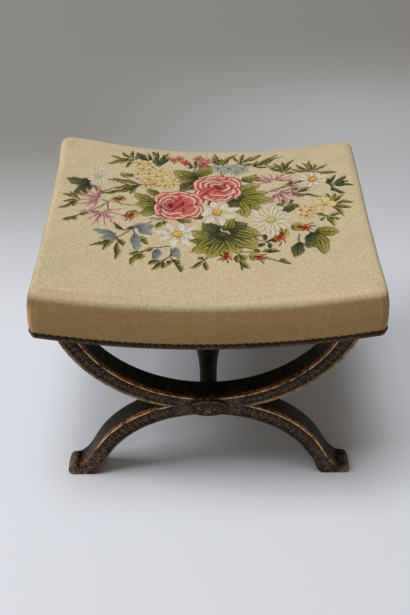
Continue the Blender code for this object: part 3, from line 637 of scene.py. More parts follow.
class Chart:
    """The cover's stitches, one wool for each, drawn in millimetres over the seat."""

    def __init__(self, across, along, ground):
        self.x = across / MM
        self.y = along / MM
        self.colour = np.empty((len(along), len(across), 3))
        self.colour[:] = ground
        x, y = np.meshgrid(self.x, self.y)
        chance = np.random.default_rng(5)
        self.grain = chance.random(x.shape)
        self.x_drift = 0.8 * np.sin(y / 3.6 + 1.3 * np.sin(x / 9)) + 0.9 * (chance.random(x.shape) - 0.5)
        self.y_drift = 0.8 * np.sin(x / 3.3 + 1.7 * np.sin(y / 11)) + 0.9 * (chance.random(x.shape) - 0.5)

    def near(self, points, reach):
        """The stitches within reach of some points, and their places, unsteady as a hand is."""
        points = np.atleast_2d(points)
        low = points.min(0) - reach
        high = points.max(0) + reach
        rows = slice(*np.searchsorted(self.y, (low[1], high[1])))
        columns = slice(*np.searchsorted(self.x, (low[0], high[0])))
        x, y = np.meshgrid(self.x[columns], self.y[rows])
        part = (rows, columns)
        return part, x + self.x_drift[part], y + self.y_drift[part]

    def tones(self, part, wools, value):
        """A wool for each stitch, from the first to the last as a value goes from 0 to 1."""
        place = value * len(wools) + 0.8 * (self.grain[part] - 0.5)
        return np.asarray(wools)[np.clip(place, 0, len(wools) - 1).astype(int)]

    def lay(self, part, cover, colour):
        """Covers stitches with a colour, as far as cover says."""
        cover = np.clip(cover, 0, 1)[..., None]
        self.colour[part] += (np.asarray(colour) - self.colour[part]) * cover

    def blade(self, base, tip, width, bend=0.0, fullest=0.5, blunt=0.65):
        """How far along and across a curved blade stitches lie, and how deep inside its edge."""
        base = np.array(base, float)
        run = np.array(tip, float) - base
        t = np.linspace(0, 1, 9)[:, None]
        curve = base + run * t + np.array([-run[1], run[0]]) * 4 * bend * t * (1 - t)
        part, x, y = self.near(curve, width / 2 + 2)
        way = np.diff(curve, axis=0)
        from_x = x[..., None] - curve[:-1, 0]
        from_y = y[..., None] - curve[:-1, 1]
        share = np.clip((from_x * way[:, 0] + from_y * way[:, 1]) / (way ** 2).sum(1), 0, 1)
        away = np.hypot(from_x - share * way[:, 0], from_y - share * way[:, 1])
        best = away.argmin(-1)[..., None]
        least = np.take_along_axis(away, best, -1)[..., 0]
        along = (best + np.take_along_axis(share, best, -1))[..., 0] / len(way)
        turn = np.take_along_axis(way[:, 0] * from_y - way[:, 1] * from_x, best, -1)[..., 0]
        inside = along ** (math.log(0.5) / math.log(fullest))
        half = width / 2 * np.sin(math.pi * np.clip(inside, 0, 1)) ** blunt
        return part, along, np.copysign(least, turn), half - least

    def leaflet(self, base, tip, width, wools, bend=0.0):
        """A narrow leaf, dark along one edge and light along the other."""
        part, along, side, depth = self.blade(base, tip, width, bend, 0.45, 0.8)
        value = 0.26 + 0.34 * (side > 0) + 0.2 * along
        self.lay(part, depth + 0.6, self.tones(part, wools, value))
        self.lay(part, (depth > -0.8) & (depth < 0.7) & (side < 0), wools[0])

    def leaf(self, base, tip, width, wools, bend=0.0):
        """A lobed leaf: dark at its base and along its veins, lighter towards its tip."""
        part, along, side, depth = self.blade(base, tip, width, bend, 0.45, 0.75)
        across = side / np.maximum(depth + np.abs(side), 1)
        depth = depth - 1.5 + 1.9 * np.abs(np.sin(along * math.dist(base, tip) / 6.5 + 0.9 * (side > 0)))
        veins = np.cos(across * 4 * math.pi) * (1 - 0.45 * along)
        self.lay(part, 0.6 * (depth > -1.9), wools[0])
        value = 0.26 + 0.56 * along - 0.22 * veins + 0.1 * (side > 0) - 0.2 * (along < 0.2)
        self.lay(part, depth > -0.4, self.tones(part, wools, value))
        self.lay(part, (depth > 0) & (np.abs(side) < 0.8) & (along < 0.8), wools[0])
        self.lay(part, 0.8 * ((depth > -0.4) & (depth < 0.8) & (side < 0)), wools[0])

    def ray(self, base, tip, width, wools, bend=0.0):
        """A thin petal of two strands, one dark and one pale."""
        part, along, side, depth = self.blade(base, tip, width, bend, 0.6, 0.5)
        self.lay(part, depth + 0.6, self.tones(part, wools, 0.3 + 0.5 * (side > 0) + 0.15 * along))

    def petal(self, base, tip, width, wools, bend=0.0):
        """A broad petal: light, with grey strands from its base and a grey edge."""
        part, along, side, depth = self.blade(base, tip, width, bend, 0.55, 0.85)
        across = side / np.maximum(depth + np.abs(side), 1)
        strands = np.cos(across * 3 * math.pi) * (1 - along)
        self.lay(part, depth + 0.5, self.tones(part, wools, 0.78 + 0.2 * strands - 0.16 * (along < 0.3)))
        edge = (depth > -0.7) & (depth < 0.6)
        self.lay(part, 0.7 * (edge & ((side < 0) | (along < 0.6))), wools[0])

    def stem(self, points, width=1.9, wool=GREEN[0]):
        """A thin stem through its points."""
        for base, tip in zip(points, points[1:]):
            part, _, _, depth = self.blade(base, tip, width, 0.04, 0.5, 0.05)
            self.lay(part, depth + 0.6, wool)

    def disc(self, x, y, wide, tall, wools):
        """A round patch, darker at its edge and below."""
        part, at_x, at_y = self.near((x, y), max(wide, tall) + 2)
        away = np.hypot((at_x - x) / wide, (at_y - y) / tall)
        value = 0.95 - 0.75 * away ** 2 + 0.25 * (at_y - y) / tall
        self.lay(part, (1 - away) * min(wide, tall) + 0.5, self.tones(part, wools, value))

    def rays(self, draw, x, y, wide, tall, count, width, wools, start=0.0, sweep=360.0):
        """Petals round a place, or over part of a turn, long and short in turn."""
        for number in range(count):
            share = number / (count if sweep == 360 else count - 1)
            angle = math.radians(start + sweep * share)
            reach = (1.0, 0.82, 0.93)[number % 3]
            base = (x + wide * 0.16 * math.cos(angle), y + tall * 0.16 * math.sin(angle))
            tip = (x + wide * reach * math.cos(angle), y + tall * reach * math.sin(angle))
            draw(base, tip, width, wools, (0.07, -0.06, 0.03)[number % 3])

    def rose(self, x, y, wide, tall, petals):
        """A full rose: cupped petals from the outside in, each with a pale rim and a shadow round it."""
        for across, up, petal_wide, petal_tall in petals:
            cx, cy = x + wide * across, y + tall * up
            rx, ry = wide * petal_wide, tall * petal_tall
            part, at_x, at_y = self.near((cx, cy), max(rx, ry) + 3)
            away = np.hypot((at_x - cx) / rx, (at_y - cy) / ry)
            reach = math.hypot(across, up) + 1e-6
            outward = ((at_x - cx) / rx * across + (at_y - cy) / ry * up) / reach
            depth = (1 - away) * min(rx, ry)
            folds = np.cos(at_x / 2.4 - at_y / 3.1) * away
            value = 0.44 + 0.2 * outward * away + 0.14 * folds
            value = np.where((depth < 3.4) & (outward > 0.05), 0.88, value)
            if petal_wide < HEART:
                value = value - 0.46
            self.lay(part, (depth + 2.4) * (outward > -0.4), ROSE[0 if petal_wide < 0.45 else 1])
            self.lay(part, depth + 0.3, self.tones(part, ROSE, np.clip(value, 0.03, 0.92)))

    def bud(self, base, tip, width, wools):
        """A half open bud: a green cup, coloured flesh and ragged sepals past it."""
        run = np.subtract(tip, base)
        base = np.array(base, float)
        turn = math.atan2(run[1], run[0])
        length = math.hypot(*run)
        for number, spread in enumerate((-38, -14, 12, 36)):
            angle = turn + math.radians(spread)
            root = base + run * 0.5
            reach = length * (0.72, 0.6, 0.75, 0.62)[number]
            end = root + reach * np.array([math.cos(angle), math.sin(angle)])
            self.stem((root, end), 2.2, (GREEN[0], BRICK[0])[number % 2])
        self.petal_patch(base + run * 0.3, tip, width * 0.74, wools)
        self.petal_patch(base, base + run * 0.7, width * 0.9, (GREEN[1], GREEN[3], OLIVE[3],
                                                               wools[3], wools[2]))
        self.petal_patch(base + run * 0.28, base + run * 0.86, width * 0.3, wools[:2])

    def petal_patch(self, base, tip, width, wools):
        """A plump petal in streaks, shaded along its length, dark along one edge."""
        part, along, side, depth = self.blade(base, tip, width, 0.0, 0.5, 0.55)
        across = side / np.maximum(depth + np.abs(side), 1)
        value = 0.22 + 0.42 * along + 0.16 * across + 0.16 * np.cos(across * 3 * math.pi)
        self.lay(part, depth + 0.5, self.tones(part, wools, value))
        self.lay(part, (depth > -0.7) & (depth < 0.7) & (side < 0), wools[0])


# Places on the seat in millimetres from its middle, +y away from the front
RIGHT_ROSE = (
    (-0.62, 0.30, 0.42, 0.52), (-0.45, -0.42, 0.50, 0.44), (-0.02, 0.56, 0.62, 0.42),
    (0.60, 0.26, 0.42, 0.56), (0.52, -0.34, 0.50, 0.48), (0.02, -0.58, 0.66, 0.40),
    (-0.28, 0.24, 0.54, 0.46), (0.34, 0.16, 0.52, 0.50), (0.16, -0.24, 0.66, 0.38),
    (-0.10, 0.22, 0.50, 0.36), (0.20, 0.02, 0.42, 0.28), (-0.02, 0.16, 0.34, 0.24),
    (0.10, 0.08, 0.22, 0.15),
)
LEFT_ROSE = (
    (-0.55, 0.38, 0.46, 0.50), (-0.62, -0.28, 0.40, 0.50), (0.02, 0.58, 0.58, 0.40),
    (0.56, 0.26, 0.46, 0.52), (0.60, -0.36, 0.44, 0.50), (-0.10, -0.60, 0.60, 0.38),
    (0.34, -0.30, 0.52, 0.50), (0.18, 0.26, 0.58, 0.46), (-0.28, 0.14, 0.56, 0.56),
    (-0.20, -0.26, 0.52, 0.42), (-0.30, 0.02, 0.44, 0.42), (-0.34, -0.06, 0.32, 0.28),
    (-0.36, -0.06, 0.20, 0.17),
)
ROSES = (
    (17, 80, 38, 37, RIGHT_ROSE),
    (-47, 33, 38, 39, LEFT_ROSE),
)
LEAF_HEART = (24, -45)
DAISIES = (
    (16, 12, 38, 36, 8, 13.0, 12), (-47, -44, 36, 35, 8, 12.0, 30), (175, 90, 27, 25, 9, 8.0, 10),
)
THIN_DAISIES = (
    (-181, 103, 23, 27, 19, 4.0, WHITE, 8),
    (101, -12, 32, 42, 23, 5.6, CREAM, 0),
)
ASTERS = (
    (-172, 38, 42, 40, 9, 96, 150), (-168, 8, 36, 46, 10, 186, 184), (112, 94, 40, 26, 10, -12, 204),
    (114, 62, 48, 40, 9, -118, 136),
)
SMALL_FLOWERS = (
    (-115, 146, 12, 4, YELLOW, 10), (-101, 150, 11, 4, YELLOW, 50), (-108, 132, 12, 4, YELLOW, 30),
    (-92, 140, 11, 4, YELLOW, 0), (-116, 118, 12, 5, YELLOW, 20), (-98, 120, 13, 4, YELLOW, 40),
    (-80, 130, 12, 4, YELLOW, 15), (-84, 114, 12, 4, YELLOW, 60), (-68, 120, 11, 5, YELLOW, 5),
    (-98, 104, 12, 4, YELLOW, 25), (-74, 102, 13, 4, YELLOW, 45), (-88, 92, 12, 4, ORANGE, 0),
    (-70, 88, 11, 4, YELLOW, 30), (-56, 106, 11, 4, YELLOW, 10), (-102, 88, 11, 4, ORANGE, 50),
    (-56, 92, 10, 4, YELLOW, 40), (187, 16, 20, 5, YELLOW, 72), (163, 4, 13, 5, ORANGE, 30),
    (150, 8, 12, 5, YELLOW, 0), (158, -8, 11, 5, ORANGE, 50), (148, -4, 10, 4, YELLOW, 20),
    (20, 142, 12, 6, BLUE, 10), (38, 139, 14, 6, BLUE, 0), (60, 136, 14, 6, BLUE, 30),
    (50, 128, 11, 6, BLUE, 45), (-48, 168, 10, 5, BROWN[:3], 30), (-36, 158, 9, 4, ROSE[:3], 0),
    (-14, 170, 11, 4, BROWN[:3], 0), (2, 164, 10, 5, BROWN, 40), (-6, 154, 9, 4, ROSE[:3], 20),
)
BELLS = (
    ((-142, -50), (-177, -44), 13, BLUE), ((-138, -56), (-165, -62), 12, BLUE),
    ((-118, -28), (-82, -24), 16, BLUE), ((-108, -26), (-86, -46), 17, BLUE),
    ((-112, -44), (-106, -86), 15, BLUE), ((-74, -80), (-80, -106), 13, BLUE[:3]),
    ((-50, -76), (-43, -102), 12, BLUE),
)
BUDS = (
    ((-146, 112), (-116, 114), 15, (GREEN[1], GREEN[2], OLIVE[3], YELLOW[1])),
    ((-132, 48), (-150, 38), 17, BRICK), ((-112, 12), (-128, -8), 22, BRICK),
    ((30, -78), (27, -106), 23, BRICK), ((62, -96), (86, -104), 19, BRICK),
    ((122, -36), (108, -68), 24, BRICK), ((130, -30), (162, -40), 23, BRICK),
    ((-72, 174), (-52, 162), 13, ROSE[1:5]),
)
STEMS = (
    ((-172, 36), (-160, 34), (-150, 42), (-137, 28), (-113, 28), (-84, 30)),
    ((-160, 33), (-186, 4), (-204, -9), (-222, -22)), ((-160, 31), (-159, 12)),
    ((-70, 86), (-99, 91), (-130, 84), (-158, 100)), ((-176, 54), (-150, 74), (-128, 84)),
    ((-46, -2), (-75, -5), (-85, -11), (-113, -29), (-128, -45), (-139, -60)), ((-116, -31), (-113, -46)),
    ((-57, -68), (-55, -101), (-44, -124)), ((-55, -90), (-66, -108), (-78, -124)),
    ((-57, -72), (-87, -78), (-99, -88), (-114, -97)), ((10, -80), (-2, -102), (-21, -119)),
    ((44, -80), (58, -90), (81, -90), (104, -92)), ((67, -50), (80, -62), (93, -67), (106, -56)),
    ((76, 62), (88, 55), (105, 66), (116, 66), (131, 82), (160, 84)), ((104, 68), (120, 72), (150, 78)),
    ((28, 104), (30, 128), (57, 156), (75, 172)), ((28, 110), (22, 150), (38, 176)),
    ((108, 158), (96, 150), (118, 134), (128, 117)), ((175, 12), (150, 18), (122, 22)),
    ((166, 0), (180, -10), (196, -24)), ((141, -52), (139, -74)), ((86, -104), (104, -112), (120, -118)),
    ((-123, 109), (-100, 112)), ((-60, 6), (-74, -2), (-92, -6)), ((30, 40), (36, 26)),
    ((-26, 108), (-20, 140), (-12, 158)),
)
SPRAYS = (
    ((-205, 34), ((-236, 3), (-234, 42), (-231, 23), (-222, 52), (-214, 12)), 7, GREEN),
    ((-127, 155), ((-164, 160), (-166, 138), (-148, 174), (-138, 134), (-118, 172), (-130, 180),
     (-156, 150)), 6, GREEN),
    ((-112, 88), ((-176, 53), (-164, 96), (-158, 57), (-140, 62), (-126, 58), (-148, 98), (-134, 100),
     (-150, 70)), 6, GREEN),
    ((-84, 140), ((-102, 180), (-94, 186), (-85, 186), (-66, 184), (-75, 180), (-110, 168),
     (-58, 174)), 6, DARK),
    ((26, 146), ((10, 178), (24, 174), (38, 178), (54, 187), (4, 164), (14, 188)), 6, GREEN),
    ((57, 152), ((78, 174), (84, 152), (46, 178), (66, 184), (94, 182), (72, 144)), 6, GREEN),
    ((78, 142), ((98, 152), (114, 160), (132, 170), (88, 160), (106, 140), (124, 176)), 5, GREEN),
    ((127, 117), ((150, 156), (115, 147), (143, 132), (149, 113), (128, 150), (104, 140)), 7, GREEN),
    ((177, 110), ((151, 138), (163, 141), (185, 134), (204, 128), (218, 104), (174, 146),
     (142, 126)), 6, GREEN),
    ((201, 64), ((213, 95), (229, 90), (232, 74), (238, 60), (222, 40), (208, 48), (200, 88)), 7, DARK),
    ((134, 60), ((168, 58), (158, 46), (186, 37), (150, 70), (172, 70)), 6, GREEN),
    ((132, 78), ((160, 88), (150, 72), (142, 92)), 5, GREEN),
    ((197, 18), ((194, 46), (205, 42), (220, 38), (232, 14), (230, 1), (214, -18), (210, 30)), 8, OLIVE),
    ((-139, -58), ((-178, -80), (-157, -88), (-137, -109), (-127, -78), (-150, -70)), 9, GREEN),
    ((-128, -40), ((-146, -26), (-140, -34), (-112, -24), (-150, -16)), 5, DARK),
    ((-112, -48), ((-90, -72), (-96, -58)), 9, OLIVE),
    ((-97, -88), ((-119, -94), (-115, -120), (-82, -78), (-104, -106)), 10, OLIVE),
    ((-66, -106), ((-82, -128), (-88, -116), (-66, -124)), 9, GREEN),
    ((-52, -104), ((-38, -132), (-58, -116), (-40, -112)), 9, GREEN),
    ((-4, -104), ((-26, -122), (0, -126), (-14, -98)), 8, GREEN),
    ((46, -90), ((52, -130), (62, -126), (44, -112), (58, -108)), 10, OLIVE),
    ((84, -90), ((110, -90), (96, -82), (70, -84)), 9, GREEN),
    ((104, -112), ((124, -120), (116, -108)), 9, OLIVE),
    ((186, -14), ((206, -28), (180, -26), (198, -42), (210, -12), (170, -6)), 7, OLIVE),
    ((92, -66), ((72, -78), (84, -48), (98, -82), (110, -64)), 7, DARK),
    ((-190, 78), ((-180, 66), (-206, 92)), 7, GREEN), ((-168, 56), ((-184, 70), (-152, 66)), 5, GREEN),
    ((-206, -10), ((-226, -26), (-206, -24), (-190, 2)), 8, OLIVE),
    ((-70, -8), ((-82, -30), (-60, -20)), 9, OLIVE),
    ((60, 100), ((90, 108), (84, 118), (78, 94), (96, 98)), 8, OLIVE),
    ((128, 30), ((112, 26), (140, 36), (116, 40)), 8, DARK),
    ((-20, 146), ((-36, 156), (-22, 164), (8, 148), (-32, 142)), 6, DARK),
)
LEAVES = (
    ((-192, 80), (-232, 88), 19, DARK), ((-194, 78), (-216, 44), 21, DARK),
    ((-78, 34), (-118, 62), 22, GREEN), ((-80, 32), (-116, 34), 19, OLIVE),
    ((-80, 26), (-108, 4), 22, GREEN), ((-78, 60), (-98, 76), 15, GREEN),
    ((-14, 112), (-56, 134), 27, GREEN), ((-16, 116), (12, 146), 24, OLIVE),
    ((-18, 108), (-46, 74), 27, DARK), ((-20, 114), (-54, 106), 20, GREEN),
    ((48, 56), (88, 88), 26, OLIVE), ((50, 52), (98, 62), 24, GREEN), ((50, 48), (110, 36), 24, OLIVE),
    ((46, 44), (86, 16), 26, GREEN), ((44, 46), (62, -2), 26, OLIVE), ((42, 48), (38, 20), 20, DARK),
    ((-6, 40), (-16, 58), 14, DARK), ((4, 44), (10, 30), 14, DARK), ((58, 98), (84, 110), 14, OLIVE),
    ((-50, -6), (-26, -12), 14, GREEN), ((-8, 8), (-22, -4), 12, DARK), ((28, -40), (-32, -56), 30, DARK),
    ((26, -46), (-24, -86), 32, GREEN), ((28, -50), (-2, -100), 26, GREEN),
    ((32, -48), (46, -92), 26, OLIVE), ((34, -46), (76, -82), 34, OLIVE),
    ((34, -38), (82, -50), 30, GREEN), ((30, -34), (64, -20), 24, DARK), ((28, -36), (42, -6), 24, GREEN),
    ((20, -36), (-8, -14), 24, DARK), ((10, -50), (-24, -36), 22, OLIVE), ((122, 6), (146, 24), 16, DARK),
    ((164, -52), (202, -58), 23, OLIVE), ((160, -52), (176, -104), 25, GREEN),
    ((158, -54), (152, -88), 16, DARK), ((139, -72), (131, -106), 19, DARK),
    ((-104, 158), (-120, 178), 12, DARK),
)


def draw_bouquet(chart):
    """A garden bouquet: stems and sprays first, then leaves, small flowers and the roses on top."""
    for points in STEMS:
        chart.stem(points)
    for base, tips, width, wools in SPRAYS:
        for number, tip in enumerate(tips):
            chart.stem((base, tip), 1.3)
            start = np.array(base) + 0.22 * np.subtract(tip, base)
            chart.leaflet(start, tip, width, wools, (0.1, -0.08, 0.05)[number % 3])
    for base, tip, width, wools in LEAVES:
        chart.leaf(base, tip, width, wools, 0.06)
    chart.disc(*LEAF_HEART, 9, 8, DARK[:3])
    for base, tip, width, wools in BELLS:
        chart.petal_patch(base, tip, width, wools)
    for base, tip, width, wools in BUDS:
        chart.bud(base, tip, width, wools)
    for x, y, wide, tall, count, start, sweep in ASTERS:
        chart.rays(chart.ray, x, y, wide, tall, count, 3.7, PINK, start, sweep)
        chart.rays(chart.ray, x, y, wide * 0.5, tall * 0.5, count, 2.4, PINK[:2], start + 9, sweep - 18)
    for x, y, size, petals, wools, turn in SMALL_FLOWERS:
        for number in range(petals):
            angle = math.radians(turn + 360 * number / petals)
            tip = (x + size * math.cos(angle), y + size * 1.1 * math.sin(angle))
            chart.petal((x, y), tip, size * 0.78, wools)
        chart.disc(x, y, 1.6, 1.6, (BLUE[0], OLIVE[0]))
    for x, y, wide, tall, count, width, wools, start in THIN_DAISIES:
        chart.rays(chart.ray, x, y, wide, tall, count, width, wools, start)
        chart.disc(x, y, wide * 0.28, wide * 0.28, PALE_EYE)
    for x, y, wide, tall, count, width, start in DAISIES:
        chart.rays(chart.petal, x, y, wide, tall, count, width, WHITE, start)
        chart.disc(x, y, 8.0, 8.6, EYE)
        chart.rays(chart.ray, x, y, 7.5, 8.0, 7, 1.6, (EYE[0], EYE[2]), start)
    for x, y, wide, tall, petals in ROSES:
        chart.rose(x, y, wide, tall, petals)


COVER_WALL = (0.061, 0.057, 0.050, 0.042, 0.034, 0.026, 0.018, 0.0125, 0.010, 0.004, 0.0)
# Height on the side, and the ground's tone there in red, green and blue: a painted shadow in the strip
# behind and under the nails, painted shade that makes the sides darker and browner, and a painted highlight
# along the rounded edge
WALL_SHADING = (
    (0.000, 0.010, 0.0125, 0.030, 0.062, 0.068, 0.0735, 0.078, 0.081),
    (0.26, 0.28, 0.76, 0.70, 0.61, 0.67, 0.93, 1.12, 1.00),
    (0.19, 0.20, 0.575, 0.525, 0.46, 0.54, 0.90, 1.12, 1.00),
    (0.12, 0.13, 0.355, 0.33, 0.295, 0.39, 0.85, 1.12, 1.00),
)
# Painted highlight at the two ends of the front wall, as a share of the ground: at the left end, at the
# right end
END_HIGHLIGHTS = (0.9, 0.35)
BOUQUET_FRONT = -0.1335
INNER_EVERY = 8
LUMPS = 0.0012


def cover_lines(half, stitch, dense_low, dense_high, coarse_steps):
    """Grid lines from -1 to 1 over the seat: one for each stitch where flowers are, wider elsewhere."""
    low = math.floor(dense_low / stitch)
    high = math.floor(dense_high / stitch)
    dense = np.arange(low, high + 1) * stitch
    before = np.linspace(-half, dense[0], coarse_steps + 1)[:-1] if dense[0] > -half else []
    after = np.linspace(dense[-1], half, coarse_steps + 1)[1:] if dense[-1] < half - stitch / 2 else [half]
    return np.concatenate([before, dense, after]) / half


class STOOL_OT_cover(bpy.types.Operator):
    """Sew the needlepoint cover, one colour for each stitch"""
    bl_idname = "stool.cover"
    bl_label = "Needlepoint cover"

    def execute(self, context):
        seat = context.scene.stool_seat
        rings = edge_profile(0, 0, 8, COVER_WALL)
        half_x = HALF_X - rings[0][0]
        half_y = HALF_Y - rings[0][0]
        lines_x = cover_lines(half_x, seat.stitch, -half_x + seat.stitch, half_x - seat.stitch, 1)
        lines_y = cover_lines(half_y, seat.stitch, BOUQUET_FRONT, half_y - seat.stitch, 9)
        outer = SeatLayer(lines_x, lines_y, rings)
        self.unevenness(outer)
        keep_x = sorted({*range(0, len(lines_x), INNER_EVERY), len(lines_x) - 1})
        keep_y = sorted({*range(0, len(lines_y), INNER_EVERY), len(lines_y) - 1})
        inner_rings = edge_profile(COVER_THICKNESS, 0, 3, (0.04, 0.012, 0))
        inner = SeatLayer(lines_x[keep_x], lines_y[keep_y], inner_rings)
        mesh = seat_shell("needlepoint_seat_cover", outer, inner, INNER_EVERY)
        self.paint(mesh, outer, lines_x * half_x, lines_y * half_y, seat, rings)
        soften(mesh, 70)
        cover = bare_object("needlepoint_seat_cover", mesh, needlepoint())
        finished(cover, "needlepoint", "needlepoint_cover")
        return {"FINISHED"}

    def unevenness(self, layer):
        """The stuffing's soft lumps, which fade out over the rails."""
        for points in (layer.top.reshape(-1, 3), layer.walls.reshape(-1, 3)):
            for point in points:
                lump = noise.noise(Vector(point) * 8) + 0.45 * noise.noise(Vector(point) * 26)
                middle = Vector((point[0] * 0.6, point[1] * 0.6, rail_foot()))
                away = (Vector(point) - middle).normalized()
                low = step(point[2] - rail_foot() - seat_dish(point[0]), 0.012, 0.03)
                point += np.array(away * LUMPS * lump * float(low))

    def paint(self, mesh, outer, across, along, seat, rings):
        """Stitch map and wool colours. A stitch is one cell of the map, and has one colour."""
        ground = np.array(seat.ground)
        middle_x = (across[:-1] + across[1:]) / 2
        middle_y = (along[:-1] + along[1:]) / 2
        chart = Chart(middle_x, middle_y, ground)
        draw_bouquet(chart)
        rows, columns = outer.top.shape[:2]
        flat = np.stack([outer.flat_x, outer.flat_y], -1).reshape(-1, 2)
        edge = np.array([flat[r * columns + c] for r, c in outer.rim])
        rim = np.array([outer.top[place] for place in outer.rim])
        levels = np.concatenate([rim[None], outer.walls])
        drop = np.cumsum(np.linalg.norm(np.diff(levels, axis=0), axis=2), axis=0)
        sides = [edge + outer.out * down[:, None] for down in drop]
        places = np.concatenate([flat, *sides]) / seat.stitch
        places = np.concatenate([places, np.zeros((len(mesh.vertices) - len(places), 2))])
        corner_point = np.zeros(len(mesh.loops), np.int32)
        mesh.loops.foreach_get("vertex_index", corner_point)
        uv = mesh.uv_layers.new(name="stitches")
        uv.data.foreach_set("uv", places[corner_point].astype(np.float32).ravel())
        colours = np.empty((len(mesh.loops), 4), np.float32)
        colours[:, :3] = ground
        colours[:, 3] = 1
        cells = (rows - 1) * (columns - 1)
        colours[:cells * 4, :3] = np.repeat(chart.colour.reshape(-1, 3), 4, axis=0)
        start = cells * 4
        heights = np.array(rings)[:, 1]
        # The side rings take the ground times a painted shading by height: shadow under the nails, shade
        # down the sides and a highlight on the rounded edge
        tones = np.stack([np.interp(heights, WALL_SHADING[0], channel) for channel in WALL_SHADING[1:]], -1)
        # Painted highlight: the lower front wall is lightened near its two ends, more at the left, where
        # the lamp's light would graze it
        ends = step(np.abs(edge[:, 0]) / across[-1], 0.92, 1) * step(-outer.out[:, 1], 0, 0.6)
        ends = ends * np.where(edge[:, 0] < 0, *END_HIGHLIGHTS) * step(heights, 0.068, 0.045)[:, None]
        rims = ground * tones[:, None] * (1 + ends)[..., None]
        for upper, lower in zip(rims, rims[1:]):
            wall = np.stack([upper, lower, np.roll(lower, -1, 0), np.roll(upper, -1, 0)], 1).reshape(-1, 3)
            colours[start:start + len(wall), :3] = wall
            start += len(wall)
        mesh.attributes.new("wool", "FLOAT_COLOR", "CORNER").data.foreach_set("color", colours.ravel())


CALICO_HEM = 0.014


class STOOL_OT_stuffing(bpy.types.Operator):
    """Make the horsehair pad and the calico that holds it down"""
    bl_idname = "stool.stuffing"
    bl_label = "Stuffing and calico"

    def execute(self, context):
        lines_x = np.linspace(-1, 1, 61)
        lines_y = np.linspace(-1, 1, 49)
        calico_offset = COVER_THICKNESS + CLEAR
        pad_offset = calico_offset + CALICO_THICKNESS + CLEAR
        wall = (0.045, 0.03, CALICO_HEM)
        outer, inner = [SeatLayer(lines_x, lines_y, edge_profile(offset, CALICO_HEM, 4, wall))
                        for offset in (calico_offset, calico_offset + CALICO_THICKNESS)]
        shell = seat_shell("calico_seat_lining", outer, inner, 1)
        cotton = woven("calico", linear(196, 186, 166), linear(232, 226, 210), 0.0008)
        calico = bare_object("calico_seat_lining", soften(shell, 60), cotton)
        finished(calico, "calico", "calico_lining")
        low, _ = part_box("stuffing_pad")
        foot = low.z - (rail_foot() - context.scene.stool_seat.dish)
        pad = SeatLayer(lines_x, lines_y, edge_profile(pad_offset, foot, 4, (foot,)))
        pad_mesh = self.padding(pad, foot)
        hair = bare_object("horsehair_stuffing", soften(pad_mesh, 60), horsehair())
        finished(hair, "horsehair", "stuffing_pad")
        return {"FINISHED"}

    def padding(self, layer, foot):
        """Closes the pad with a grid that follows the dish, and gives the hair its dents."""
        faces, hem = layer.faces()
        points = layer.points()
        dent = np.array([noise.noise(Vector(point) * 60) for point in points])
        points[:, 2] -= 0.0006 * np.clip(dent + 0.5, 0, 1)
        under = layer.top.copy()
        under[..., 2] = rail_foot() + seat_dish(under[..., 0]) + foot
        rows, columns = under.shape[:2]
        faces += [face[:1] + face[:0:-1] for face in grid_faces(rows, columns, len(points))]
        rim = np.array([len(points) + row * columns + column for row, column in layer.rim])
        faces += band_faces(hem, rim)
        return mesh_of("horsehair_stuffing", np.concatenate([points, under.reshape(-1, 3)]), faces)


THICKNESS = {"webbing": 0.0015, "hessian": 0.001, "bottom": 0.0008}
ARM_ROOM = 0.005


